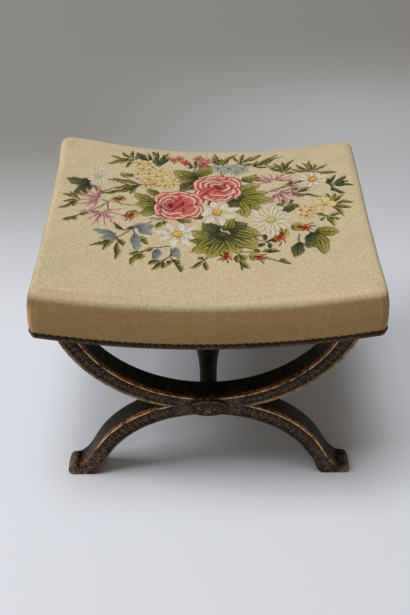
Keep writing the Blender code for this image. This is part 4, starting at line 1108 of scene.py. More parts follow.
class STOOL_OT_webbing(bpy.types.Operator):
    """Stretch the webbing and the hessian, and the dust cloth under the rails"""
    bl_idname = "stool.webbing"
    bl_label = "Webbing and cloths"

    def execute(self, context):
        jute = woven("jute webbing", linear(96, 72, 46), linear(176, 146, 104), 0.0022, 0.5)
        for number in range(1, 7):
            name = "webbing_" + str(number)
            node = "webbing_strap_" + str(number)
            strap = bare_object(name, self.slab(name, node, 8, 40), jute)
            finished(strap, "jute", node)
        sacking = woven("hessian", linear(112, 86, 54), linear(186, 156, 110), 0.0016, 0.45)
        cloth = bare_object("hessian_cloth", self.slab("hessian_cloth", "hessian", 40, 32), sacking)
        finished(cloth, "jute", "hessian")
        cotton = woven("black dust cloth", linear(14, 14, 15), linear(34, 34, 36), 0.0007)
        dust = bare_object("dust_cloth", self.dust_cloth(), cotton)
        finished(dust, "bottom_cloth", "bottom_cloth")
        return {"FINISHED"}

    def slab(self, name, node, across, along):
        """A thin cloth that follows the dish, finer than its construction node."""
        low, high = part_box(node)
        thick = THICKNESS[node.split("_")[0]]
        lift = high.z - thick - rail_foot() - seat_dish(max(abs(low.x), abs(high.x)))
        x, y = np.meshgrid(np.linspace(low.x, high.x, across + 1), np.linspace(low.y, high.y, along + 1))
        return self.thin_mesh(name, x, y, lift, thick, np.ones((along, across), bool))

    def dust_cloth(self):
        """The dust cloth, cut back round the four arms."""
        low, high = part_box("bottom_cloth")
        notch_x = bow_end_x() - ARM_ROOM
        notch_y = abs(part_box("front_leg_left")[1].y) - ARM_ROOM
        x = np.unique(np.concatenate([np.linspace(low.x, high.x, 45), [-notch_x, notch_x]]))
        y = np.unique(np.concatenate([np.linspace(low.y, high.y, 37), [-notch_y, notch_y]]))
        grid_x, grid_y = np.meshgrid(x, y)
        middle_x = np.abs((x[:-1] + x[1:]) / 2)[None, :]
        middle_y = np.abs((y[:-1] + y[1:]) / 2)[:, None]
        keep = ~((middle_x > notch_x) & (middle_y > notch_y))
        thick = THICKNESS["bottom"]
        return self.thin_mesh("dust_cloth", grid_x, grid_y, -CLEAR - thick, thick, keep)

    def thin_mesh(self, name, x, y, lift, thick, keep):
        """The kept cells of a grid as a closed slab, with a wall wherever a cell has no neighbour."""
        z = rail_foot() + seat_dish(x) + lift
        points = np.concatenate([np.stack([x, y, z + rise], -1).reshape(-1, 3) for rise in (0, thick)])
        cells = np.array(grid_faces(*x.shape)).reshape(*keep.shape, 4)
        upper = x.size
        framed = np.pad(keep, 1)
        faces = []
        for row, column in np.argwhere(keep):
            cell = cells[row, column].tolist()
            faces += [cell[::-1], [point + upper for point in cell]]
            for edge, (down, across) in enumerate(((-1, 0), (0, 1), (1, 0), (0, -1))):
                if not framed[row + 1 + down, column + 1 + across]:
                    first, second = cell[edge], cell[(edge + 1) % 4]
                    faces.append([first, second, second + upper, first + upper])
        used = np.unique(np.concatenate([np.array(face) for face in faces]))
        renumber = dict(zip(used.tolist(), range(len(used))))
        faces = [[renumber[point] for point in face] for face in faces]
        return soften(mesh_of(name, points[used], faces), 40)


def bow_end_x():
    """How far out the inside of an arm meets the seat's foot."""
    return HALF_X - bpy.context.scene.stool_frame.arm_margin


BEAD_END = (0.234, 0.192)
ANKLE = math.radians(61)
ANKLE_EASE = 0.36
FOOT_LENGTH = 0.0445
TOE_RADIUS = 0.0115
NOOK = math.radians(45)
NOOK_SLOPE = math.radians(38)
ARCH_COLUMNS = 140
FOOT_COLUMNS = 66
BOW_COLUMNS = 224
CROSS_COLUMNS = 120
BAND_ROWS = 26
TOE_RINGS = 14
BOW_FILLET = 0.0040
BOW_LOW = 0.19
HEEL_ROUND = 0.0055
TOE_ROUND = (0.0140, 0.42)
LOBE_PITCH = 0.0080
LOBE_DEPTH = 0.0044
WALL_DEPTHS = (0.0005, 0.0012, 0.0020, 0.0028, 0.0036, 0.0044, 0.0052, 0.0064, 0.0078, 0.0115, 0.0160)
BACK_DEPTHS = (0.0080, 0.0050, 0.0026, 0.0010, 0.0003)


class FrameShape:
    """The two arcs of a frame's front view, and the foot's curves, as the construction has them."""

    def __init__(self, settings):
        half = settings.cross_depth / 2
        self.cross = settings.cross_height
        foot_z = self.cross + half
        reach = bow_end_x()
        rise = rail_foot() + seat_dish(reach) - CLEAR - foot_z
        self.bow_in = (reach ** 2 + rise ** 2) / (2 * rise)
        self.bow_out = self.bow_in + settings.bow_band
        self.bow_z = foot_z + self.bow_in
        self.arch_in = settings.arch_inner
        self.arch_out = settings.arch_outer
        self.arch_z = self.cross - half - self.arch_in
        self.arch_out_z = self.cross - half + settings.arch_crown - self.arch_out
        gap = self.bow_z - self.arch_out_z
        foot = (gap ** 2 + self.arch_out ** 2 - self.bow_out ** 2) / (2 * gap)
        self.half_width = math.sqrt(self.arch_out ** 2 - foot ** 2)
        self.crotch = (self.half_width, self.arch_out_z + foot)
        self.bow_cut = math.atan2(self.half_width, self.crotch[1] - self.bow_z)
        self.arch_cut = math.atan2(self.half_width, self.crotch[1] - self.arch_z)
        self.lower = self.lower_foot()
        self.upper = self.upper_foot()

    def arc(self, centre_z, radius, angles):
        """Points of a circle round a place on the middle line, by their angles from straight up."""
        return np.column_stack([radius * np.sin(angles), centre_z + radius * np.cos(angles)])

    def arm_angle(self, radius):
        """Where an edge of the bow meets the seat's foot."""
        angles = np.linspace(math.pi / 2, math.pi, 4001)
        points = self.arc(self.bow_z, radius, angles)
        below = points[:, 1] < rail_foot() + seat_dish(points[:, 0]) - CLEAR
        return float(angles[np.argmax(below)])

    def bow_edge(self, radius):
        """An edge of the bow at +X, from the crossing's cut to the seat's foot."""
        angles = np.linspace(self.bow_cut, self.arm_angle(radius), BOW_COLUMNS + 1)
        return self.arc(self.bow_z, radius, angles)

    def lower_foot(self):
        """Underside of a foot at +X, from the crossing's cut to the heel."""
        angles = np.linspace(self.arch_cut, ANKLE, ARCH_COLUMNS + 1)
        arc = self.arc(self.arch_z, self.arch_in, angles)
        ankle = arc[-1]
        self.heel = ankle[0] + ankle[1] / math.tan(ANKLE)
        shares = np.linspace(0, 1, FOOT_COLUMNS + 1)[1:, None]
        foot = ankle + (np.array([self.heel, 0]) - ankle) * shares
        foot[:, 0] -= HEEL_ROUND * (step(shares, 0.35, 0.86) - 0.5 * step(shares, 0.8, 1.0) ** 2)[:, 0]
        return np.concatenate([arc, foot])

    def upper_foot(self):
        """Upper side of a foot at +X, from the crotch to the nook behind the toe."""
        start = math.atan2(self.half_width, self.crotch[1] - self.arch_out_z)
        arc = self.arc(self.arch_out_z, self.arch_out, np.linspace(start, ANKLE, ARCH_COLUMNS + 1))
        self.toe = np.array([self.heel + FOOT_LENGTH - TOE_RADIUS, TOE_RADIUS])
        nook = self.toe + TOE_RADIUS * np.array([-math.sin(NOOK), math.cos(NOOK)])
        ease = ANKLE_EASE * np.linalg.norm(nook - arc[-1])
        first = arc[-1] + ease * np.array([math.cos(ANKLE), -math.sin(ANKLE)])
        second = nook - ease * np.array([math.cos(NOOK_SLOPE), -math.sin(NOOK_SLOPE)])
        self.nook = nook
        t = np.linspace(0, 1, FOOT_COLUMNS + 1)[1:, None]
        curve = (1 - t) ** 3 * arc[-1] + 3 * (1 - t) ** 2 * t * first
        curve = curve + 3 * (1 - t) * t ** 2 * second + t ** 3 * nook
        return np.concatenate([arc, curve])

    def nook_shade(self, points):
        """How far the nook behind a toe is kept dark: a painted shade in the hollow, which holds off the
        brown wear there.
        """
        away = np.hypot(np.abs(points[:, 0]) - self.nook[0], points[:, 1] - self.nook[1])
        return 0.95 * step(away, 0.0120, 0.0030)


def lobes(line, behind):
    """A chain of small rings along the front of a wall."""
    way = np.concatenate([[0], np.cumsum(np.linalg.norm(np.diff(line, axis=0), axis=1))])
    turn = (way / LOBE_PITCH % 1 - 0.5) * 2
    radius = np.hypot(turn, (behind / LOBE_DEPTH - 1) * 1.2)
    return np.exp(-((radius - 0.75) / 0.25) ** 2)


def toe_round(depth):
    """How far the toe draws in towards its middle, by the distance from its back."""
    share = np.clip(1 - depth / TOE_ROUND[0], 0, 1)
    return TOE_ROUND[1] * (1 - np.sqrt(1 - share ** 2))


def nearest(points, line):
    """How far points lie from a line of many points, and how far along it their nearest places are."""
    start = line[:-1]
    run = line[1:] - start
    lengths = np.linalg.norm(run, axis=1)
    before = np.concatenate([[0], np.cumsum(lengths)[:-1]])
    offset = points[:, None, :] - start[None]
    share = np.clip((offset * run).sum(-1) / (run * run).sum(-1), 0, 1)
    distance = ((offset - share[..., None] * run) ** 2).sum(-1)
    best = distance.argmin(1)
    number = np.arange(len(points))
    return np.sqrt(distance[number, best]), before[best] + share[number, best] * lengths[best]


def half_round(distance, width):
    """Height of a half round bead across its width, 0 to 1."""
    across = np.clip(distance / width, 0, 1) * 2 - 1
    return np.sqrt(np.clip(1 - across ** 2, 0, 1))


def leaf_row(along, across, pitch):
    """Overlapping leaves in a slightly uneven row: height 0 to 1, across from -1 to 1."""
    wander = 0.16 * np.sin(along * 210 + across * 2) + 0.14 * np.sin(along * 91)
    share = (along / pitch + 0.35 * np.abs(across) + wander) % 1
    width = np.clip(1.0 - 0.55 * share ** 2, 0, 1)
    body = step(width - np.abs(across), 0.0, 0.22)
    rib = 0.25 * np.exp(-(across / 0.1) ** 2)
    folds = 0.16 * np.cos(np.abs(across) * 9.5)
    return np.clip(body * (0.35 + 0.75 * (1 - share)) + body * (rib + folds), 0, 1)


class Carving:
    """Depth and finish of the front of a frame at any place of its front view."""

    def __init__(self, shape, settings):
        self.shape = shape
        self.settings = settings

    def bow(self, points):
        """Signed distances into the bow from its inner and its outer edge, and the way along it."""
        radius = np.hypot(points[:, 0], points[:, 1] - self.shape.bow_z)
        angle = np.arctan2(np.abs(points[:, 0]), self.shape.bow_z - points[:, 1])
        middle = (self.shape.bow_in + self.shape.bow_out) / 2
        return radius - self.shape.bow_in, self.shape.bow_out - radius, angle * middle

    def arch(self, points):
        """The same for the arch, on along the foot to the toe."""
        shape = self.shape
        place = np.column_stack([np.abs(points[:, 0]), points[:, 1]])
        radius = np.hypot(place[:, 0], place[:, 1] - shape.arch_z)
        outer = np.hypot(place[:, 0], place[:, 1] - shape.arch_out_z)
        angle = np.arctan2(place[:, 0], place[:, 1] - shape.arch_z)
        past = angle > ANKLE
        inside = radius - shape.arch_in
        outside = shape.arch_out - outer
        way = angle * (shape.arch_in + shape.arch_out) / 2
        if past.any():
            foot = place[past]
            inside[past] = nearest(foot, shape.lower[ARCH_COLUMNS - 2:])[0]
            outside[past] = nearest(foot, shape.upper[ARCH_COLUMNS - 2:])[0]
            start = ANKLE * (shape.arch_in + shape.arch_out) / 2
            way[past] = start + nearest(foot, shape.lower[ARCH_COLUMNS:])[1]
        return outside, inside, way

    def band(self, upper, lower, way, fillet):
        """Depth and finish across a band, from its two edges: bead, carved field and fillet."""
        bead = self.settings.bead
        deep = self.settings.leaf_depth
        foot = fillet if fillet else 0.0022
        top = half_round(upper, bead)
        field_low = bead + 0.0012
        width = upper + lower - field_low - foot - 0.001
        across = (upper - field_low - width / 2) / (width / 2)
        leaves = leaf_row(way, np.clip(across, -1, 1), self.settings.leaf_pitch)
        field = step(1 - np.abs(across), 0.0, 0.12)
        border = step(lower, foot + 0.001, foot)
        lines = step(lower, foot * 0.42, foot * 0.3) + 0.55 * step(lower, foot * 0.55, foot * 0.7)
        pits = 0.5 + 0.5 * np.sin(way * 1300) * np.sin(across * 6 + way * 500)
        leaves = leaves * (0.72 + 0.28 * pits)
        depth = deep * (1 - field * 0.74 * leaves)
        depth = np.where(upper < bead, deep * 0.75 * (1 - top), depth)
        rounding = 0.0008 * (1 - np.sqrt(np.clip(1 - (1 - np.clip(lower / 0.0015, 0, 1)) ** 2, 0, 1)))
        depth = depth * (1 - border) + border * (0.0004 + rounding)
        return depth, {"gilt_bead": np.where((upper > -0.0005) & (upper < bead * 0.85), 1.0, 0),
                       "carving": np.clip(field * leaves, 0, 1),
                       "fillet": border * (lines if fillet else 0.12)}

    def bow_front(self, points):
        """Front of a bow: depth behind the frame's front plane, and finishes."""
        return self.band(*self.bow(points), BOW_FILLET)

    def arch_front(self, points):
        """The same for an arch and its foot, worn brown towards the toe."""
        depth, finish = self.band(*self.arch(points), 0)
        far = np.abs(points[:, 0])
        finish["gilt_bead"] = finish["gilt_bead"] * step(far, *BEAD_END)
        # The brown wear is held off round the nook behind the toe, leaving a painted shade there
        finish["foot_wear"] = 0.75 * step(far, 0.165, 0.215) * (1 - self.shape.nook_shade(points))
        return depth, finish

    def plain(self, points):
        """A front without carving."""
        return np.zeros(len(points)), {}

    def crossing(self, points):
        """Front of the crossing: the bow's bead above, and the two lines that run in from the crotch."""
        edge, outer, way = self.bow(points)
        arch_edge, under, arch_way = self.arch(points)
        near = step(np.abs(points[:, 0]), self.shape.half_width - 0.019, self.shape.half_width - 0.008)
        bow_depth, bow_finish = self.band(edge, np.maximum(outer, 0), way, BOW_FILLET)
        arch_depth, arch_finish = self.band(np.maximum(arch_edge, 0), under, arch_way, 0)
        mostly_bow = step(outer - arch_edge, -0.002, 0.002)
        bead = self.settings.bead
        plain = self.settings.leaf_depth * (0.55 + 0.2 * np.sin(way * 900) * np.sin((edge - under) * 800))
        plain = np.where(edge < bead, bow_depth, plain)
        plain = plain * (1 - step(under, 0.003, 0.001)) + step(under, 0.003, 0.001) * arch_depth
        split = bow_depth * mostly_bow + arch_depth * (1 - mostly_bow)
        depth = plain * (1 - near) + split * near
        finish = {}
        for key in ("carving", "fillet", "gilt_bead"):
            mixed = bow_finish[key] * mostly_bow + arch_finish[key] * (1 - mostly_bow)
            finish[key] = mixed * near
        top = np.where(edge < bead * 0.85, 1.0, 0) * (1 - 0.6 * step(np.abs(points[:, 0]), 0.027, 0.018))
        finish["gilt_bead"] = np.maximum(finish["gilt_bead"], top)
        finish["carving"] = np.maximum(finish["carving"], 0.45 * (1 - near))
        finish["foot_wear"] = 0.3 * (1 - near)
        return depth, finish

    def toe(self, points):
        """Front of the toe: a rolled rim that winds in to an eye."""
        offset = np.column_stack([np.abs(points[:, 0]), points[:, 1]]) - self.shape.toe
        radius = np.hypot(offset[:, 0], offset[:, 1]) / TOE_RADIUS
        angle = (np.arctan2(offset[:, 1], offset[:, 0]) - math.radians(135)) % (2 * math.pi) / (2 * math.pi)
        turn = (radius / 0.42 + angle) % 1
        ridge = half_round(turn, 0.72) * step(radius, 0.12, 0.3)
        eye = step(radius, 0.3, 0.12)
        depth = 0.0017 * (1 - np.maximum(ridge, eye))
        depth += 0.0009 * step(radius, 0.86, 1.0)
        worn = step(offset[:, 0] - 0.6 * offset[:, 1], -0.5 * TOE_RADIUS, 0.7 * TOE_RADIUS)
        return depth, {"carving": np.maximum(ridge, eye) * 0.7, "fillet": ridge * 0.25,
                       "gilt_strip": 0.75 * worn * np.maximum(ridge, eye), "foot_wear": 0.25 + 0.65 * worn}


FINISHES = ("gilt_bead", "gilt_strip", "fillet", "carving", "foot_wear")


class LegMesh:
    """Gathers the sheets of one leg, each with its finishes, and welds them into one mesh."""

    def __init__(self, shape, side, front, middle, back):
        self.shape = shape
        self.side = side
        self.front = front
        self.middle = middle
        self.back = back
        self.points = []
        self.values = {key: [] for key in FINISHES}
        self.faces = []

    def sheet(self, plan, depth, finish):
        """Adds a grid of points: plan holds x and z, and depth holds y."""
        rows, columns = plan.shape[:2]
        start = len(self.points)
        x = plan[..., 0] * self.side
        grid = np.stack([x, np.broadcast_to(depth, x.shape), plan[..., 1]], -1).reshape(-1, 3)
        self.points.extend(grid.tolist())
        for key in FINISHES:
            value = np.broadcast_to(finish.get(key, 0), x.shape).reshape(-1)
            self.values[key].extend(value.tolist())
        self.faces += grid_faces(rows, columns, start)

    def carved_sheet(self, plan, carve):
        """Adds a grid of points with its carving, on the front plane."""
        depth, finish = carve(plan.reshape(-1, 2))
        finish = {key: value.reshape(plan.shape[:2]) for key, value in finish.items()}
        self.sheet(plan, self.front + depth.reshape(plan.shape[:2]), finish)

    def wall(self, line, front, back, carve, kind, pull=None):
        """A wall along an edge of the front view, from the carved front to a back depth."""
        depths = [front + depth for depth in WALL_DEPTHS if front + depth < min(self.middle, back) - 0.001]
        halfway = (self.middle, (self.middle + back) / 2)
        depths += [depth for depth in halfway if front < depth < back - 0.001]
        if back == self.back:
            depths += [back - depth for depth in BACK_DEPTHS]
        first = self.front + carve(line)[0] if front == self.front else np.full(len(line), front)
        rows = [first] + [np.full(len(line), depth) for depth in depths] + [np.full(len(line), back)]
        depth = np.array(rows)
        behind = depth - self.front
        plan = np.broadcast_to(line, (len(rows),) + line.shape)
        if pull is not None:
            plan = plan - pull[None] * toe_round(back - depth)[..., None]
        far = np.abs(plan[..., 0])
        toe = step(far, 0.188, 0.202)
        upper = kind == "top"
        finish = {}
        if kind != "seam" and front == self.front:
            dull = np.where(plan[..., 1] > BOW_LOW, 0.25 + 0.75 * step(far, 0.03, 0.085), 1)
            finish["gilt_bead"] = step(behind, 0.0022, 0.0012) * upper * step(far, *BEAD_END)
            finish["gilt_strip"] = step(behind, 0.0080, 0.0064) * upper * (1 - toe) * dull
            finish["fillet"] = step(behind, 0.0045, 0.0025) * (kind == "bottom") * (plan[..., 1] > BOW_LOW)
        if kind != "seam":
            worn = step(far, 0.17, 0.215) * step(behind, 0.05, 0.012) * (0.9 if kind == "toe" else 0.4)
            # Round the nook the brown wear is held off, leaving a painted shade
            painted_nook_shade = self.shape.nook_shade(plan.reshape(-1, 2)).reshape(plan.shape[:2])
            finish["foot_wear"] = np.maximum(worn * (1 - painted_nook_shade), 2 * upper * toe * lobes(line, behind))
        self.sheet(plan, depth, finish)

    def mesh(self, name):
        """The welded leg."""
        return soften(mesh_of(name, self.points, self.faces, self.values), 38)


def leg_mesh(name, shape, carving, side, layer):
    """One S-shaped leg of a front frame: its foot at side, its arm opposite, its lap in front or behind."""
    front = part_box("front_leg_left")[0].y
    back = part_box("front_leg_left")[1].y
    middle = (front + back) / 2
    leg = LegMesh(shape, side, front, middle, back)
    rows = np.linspace(0, 1, BAND_ROWS + 1)[:, None, None]

    arch = shape.lower[None] * (1 - rows) + shape.upper[None] * rows
    leg.carved_sheet(arch, carving.arch_front)
    leg.sheet(arch, back, {})
    leg.wall(shape.lower, front, back, carving.arch_front, "bottom")
    leg.wall(shape.upper, front, back, carving.arch_front, "top")
    outer, inner = [shape.bow_edge(radius) * (-1, 1) for radius in (shape.bow_out, shape.bow_in)]
    bow = outer[None] * (1 - rows) + inner[None] * rows
    leg.carved_sheet(bow, carving.bow_front)
    leg.sheet(bow, back, {})
    leg.wall(outer, front, back, carving.bow_front, "bottom")
    leg.wall(inner, front, back, carving.bow_front, "top")
    leg.wall(bow[:, -1], front, back, carving.bow_front, "seam")
    add_toe(leg, shape, carving, arch[:, -1], front, back)
    add_crossing(leg, shape, carving, arch[:, 0], bow[:, 0], layer)
    return leg.mesh(name)


def add_toe(leg, shape, carving, last, front, back):
    """The scrolled toe: a patch round its eye, and the wall round it down to the sole."""
    angles = np.linspace(-NOOK, math.pi, 40)
    roll = shape.toe + TOE_RADIUS * np.column_stack([np.sin(angles), np.cos(angles)])
    sole = np.linspace(roll[-1], shape.lower[-1], 12)
    rim = np.concatenate([last, roll[1:], sole[1:]])
    rings = np.linspace(0.02, 1, TOE_RINGS)[:, None, None]
    patch = shape.toe + (rim[None] - shape.toe) * rings
    depth, finish = carving.toe(patch.reshape(-1, 2))
    limb_depth, limb_finish = carving.arch_front(patch.reshape(-1, 2))
    offset = patch.reshape(-1, 2) - shape.toe
    inside = step(np.hypot(offset[:, 0], offset[:, 1]), TOE_RADIUS * 1.12, TOE_RADIUS * 0.94)
    inside[-len(rim):][:len(last)] = 0
    depth = depth * inside + limb_depth * (1 - inside)
    mixed = {}
    for key in FINISHES:
        blend = finish.get(key, 0) * inside + limb_finish.get(key, 0) * (1 - inside)
        mixed[key] = blend.reshape(patch.shape[:2])
    leg.sheet(patch, front + depth.reshape(patch.shape[:2]), mixed)
    free = np.zeros(len(rim))
    free[len(last):len(last) + len(roll) - 1] = (step(angles, -NOOK, -0.2) * step(angles, math.pi, 2.4))[1:]
    drawn = (1 - free * toe_round(0))[None, :, None]
    leg.sheet(shape.toe + (patch - shape.toe) * drawn, back, {"foot_wear": 0.5})
    hub = len(leg.points)
    for plane in (front + float(depth[:len(rim)].mean()), back):
        leg.points.append([shape.toe[0] * leg.side, plane, shape.toe[1]])
        for key in FINISHES:
            leg.values[key].append(float(mixed[key][0, 0]))
    count = len(rim)
    total = TOE_RINGS * count
    for centre, first in ((hub, hub - 2 * total), (hub + 1, hub - total)):
        leg.faces += [[centre, first + number, first + number + 1] for number in range(count - 1)]
    wall_first = patch[-1][len(last) - 1:]
    edge_depth = front + depth.reshape(patch.shape[:2])[-1][len(last) - 1:]
    pull = (wall_first - shape.toe) * free[len(last) - 1:, None]
    leg.wall(wall_first, front, back, lambda points: (edge_depth - front, {}), "toe", pull)


def add_crossing(leg, shape, carving, low_cut, high_cut, layer):
    """The lap: half the wood's depth at the crossing, in front or behind."""
    columns = np.linspace(-1, 1, CROSS_COLUMNS + 1)
    bottom = shape.arc(shape.arch_z, shape.arch_in, columns * shape.arch_cut)
    middle = np.column_stack([columns * shape.half_width, np.full(len(columns), shape.crotch[1])])
    angles = math.pi - columns * (math.pi - shape.bow_cut)
    top = shape.arc(shape.bow_z, shape.bow_in, angles)
    rows = np.linspace(0, 1, BAND_ROWS + 1)[:, None, None]
    lower = bottom[None] * (1 - rows) + middle[None] * rows
    upper = middle[None] * (1 - rows) + top[None] * rows
    plan = np.concatenate([lower, upper[1:]])
    near, far = (leg.front, leg.middle - CLEAR) if layer == "front" else (leg.middle + CLEAR, leg.back)
    if layer == "front":
        carve = carving.crossing
        leg.carved_sheet(plan, carve)
    else:
        carve = carving.plain
        leg.sheet(plan, near, {})
    leg.sheet(plan, far, {})
    leg.wall(plan[0], near, far, carve, "bottom")
    leg.wall(plan[-1], near, far, carve, "top")
    for seam in (plan[:, 0], plan[:, -1]):
        leg.wall(seam, near, far, carve, "seam")
    leg.wall(low_cut, leg.front, leg.back, carving.arch_front, "seam")
    leg.wall(high_cut, leg.front, leg.back, carving.bow_front, "seam")


class STOOL_OT_legs(bpy.types.Operator):
    """Carve the four S-shaped legs, halved into each other in pairs"""
    bl_idname = "stool.legs"
    bl_label = "Carved legs"

    def execute(self, context):
        settings = context.scene.stool_frame
        shape = FrameShape(settings)
        carving = Carving(shape, settings)
        wood = carved_wood()
        for node, side in LEG_NODES.items():
            front = node.startswith("front")
            mesh = leg_mesh("carved_" + node, shape, carving, side if front else -side,
                            "front" if (side == -1) == front else "back")
            if not front:
                mesh.transform(Matrix.Rotation(math.pi, 4, "Z"))
            leg = bare_object("carved_" + node, mesh, wood)
            finished(leg, "carved_wood", node)
        return {"FINISHED"}


OVAL_SPREAD = Vector((1.1, 1.0, 1.0))
WORN_SPOTS = ((-0.06, -0.3), (0.06, -0.42), (-0.16, -0.6), (0.3, -0.1), (-0.5, 0.1))


class STOOL_OT_medallions(bpy.types.Operator):
    """Carve the oval medallions over the crossings"""
    bl_idname = "stool.medallions"
    bl_label = "Medallions"

    def execute(self, context):
        for node in ("front_medallion", "back_medallion"):
            low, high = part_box(node)
            mesh = self.boss("carved_" + node, low, high, -1 if node.startswith("front") else 1)
            piece = bare_object("carved_" + node, mesh, bpy.data.materials["carved dark wood"])
            finished(piece, "carved_wood", node)
        return {"FINISHED"}

    def boss(self, name, low, high, facing):
        """An oval with a rolled rim, a ring of pearls and a flower of eight petals."""
        middle = (low + high) / 2
        half = (high - low) / 2 * OVAL_SPREAD
        rings, turns = 44, 120
        share = np.linspace(0.015, 1, rings)[:, None]
        angle = np.linspace(0, 2 * math.pi, turns, endpoint=False)[None, :]
        share = np.broadcast_to(share, (rings, turns))
        rim = half_round(share - 0.88, 0.12) * (0.3 + 0.5 * np.clip(np.sin(angle), 0, 1))
        wreath = (0.5 + 0.5 * np.cos(angle * 15 + share * 16)) * step(0.2 - np.abs(share - 0.68), 0, 0.1)
        petals = np.abs(np.cos(angle * 3 + 0.4 * np.sin(angle * 5))) ** 0.6
        flower = step(petals * 0.4 + 0.08 - share, 0.0, 0.3) * (0.8 + 0.2 * np.cos(angle * 6))
        dome = 0.3 * (1 - share ** 2)
        height = np.clip(np.maximum.reduce([rim, wreath * 0.32 + dome, flower * 0.35 + dome]), 0, 1)
        thick = high.y - low.y
        wall = high.y if facing < 0 else low.y
        x = middle.x + half.x * share * np.cos(angle)
        z = middle.z + half.z * share * np.sin(angle)
        y = wall + facing * thick * (0.25 + 0.75 * height)
        y[-1] = wall
        points = np.stack([x, y, z], -1).reshape(-1, 3)
        faces = grid_faces(rings, turns, closed=True)
        faces += [list(range(turns)), list(range((rings - 1) * turns, rings * turns))]
        east = share * np.cos(angle)
        up = share * np.sin(angle)
        spots = sum(np.exp(-((east - spot[0]) ** 2 * 9 + (up - spot[1]) ** 2) * 60) for spot in WORN_SPOTS)
        finish = {"carving": height, "fillet": 0.2 * step(height, 0.5, 0.75) + 0.5 * spots,
                  "foot_wear": 0.4 * height, "gilt_strip": 0.05 * step(share, 0.84, 0.9)}
        values = {key: value.reshape(-1) for key, value in finish.items()}
        return soften(mesh_of(name, points, faces, values), 45)


class GeometryTree(Tree):
    """A geometry node tree with named inputs."""

    def __init__(self, name, inputs):
        group = bpy.data.node_groups.new(name, "GeometryNodeTree")
        self.group = group
        super().__init__(group)
        group.interface.new_socket("Geometry", in_out="INPUT", socket_type="NodeSocketGeometry")
        group.interface.new_socket("Geometry", in_out="OUTPUT", socket_type="NodeSocketGeometry")
        for label, (kind, value) in inputs.items():
            socket = group.interface.new_socket(label, in_out="INPUT", socket_type="NodeSocket" + kind)
            if value is not None:
                socket.default_value = value
        self.entry = self.tree.nodes.new("NodeGroupInput")

    def input(self, label):
        """A named input of the tree."""
        return Socket(self, self.entry.outputs[label])

    def end(self, geometry, material):
        """Realizes instances, sets the material and ends the tree."""
        real = self.add("GeometryNodeRealizeInstances", {}, {0: geometry})
        made = self.add("GeometryNodeSetMaterial", {}, {"Geometry": real, "Material": material})
        output = self.tree.nodes.new("NodeGroupOutput")
        self.feed(output.inputs[0], made)

    def apply_to(self, obj, values):
        """Puts the tree on an object, with values for its named inputs, and settles it."""
        modifier = obj.modifiers.new(self.group.name, "NODES")
        modifier.node_group = self.group
        names = {item.name: item.identifier for item in self.group.interface.items_tree
                 if item.item_type == "SOCKET" and item.in_out == "INPUT"}
        for label, value in values.items():
            modifier[names[label]] = value
        return plain_result(obj)


def path_object(name, points):
    """A closed line through points, as a mesh of edges."""
    mesh = bpy.data.meshes.new(name)
    edges = [(number, (number + 1) % len(points)) for number in range(len(points))]
    mesh.from_pydata(points, edges, [])
    return bare_object(name, mesh)


CORNER_PLACES = 7
SIDE_PLACES = 25


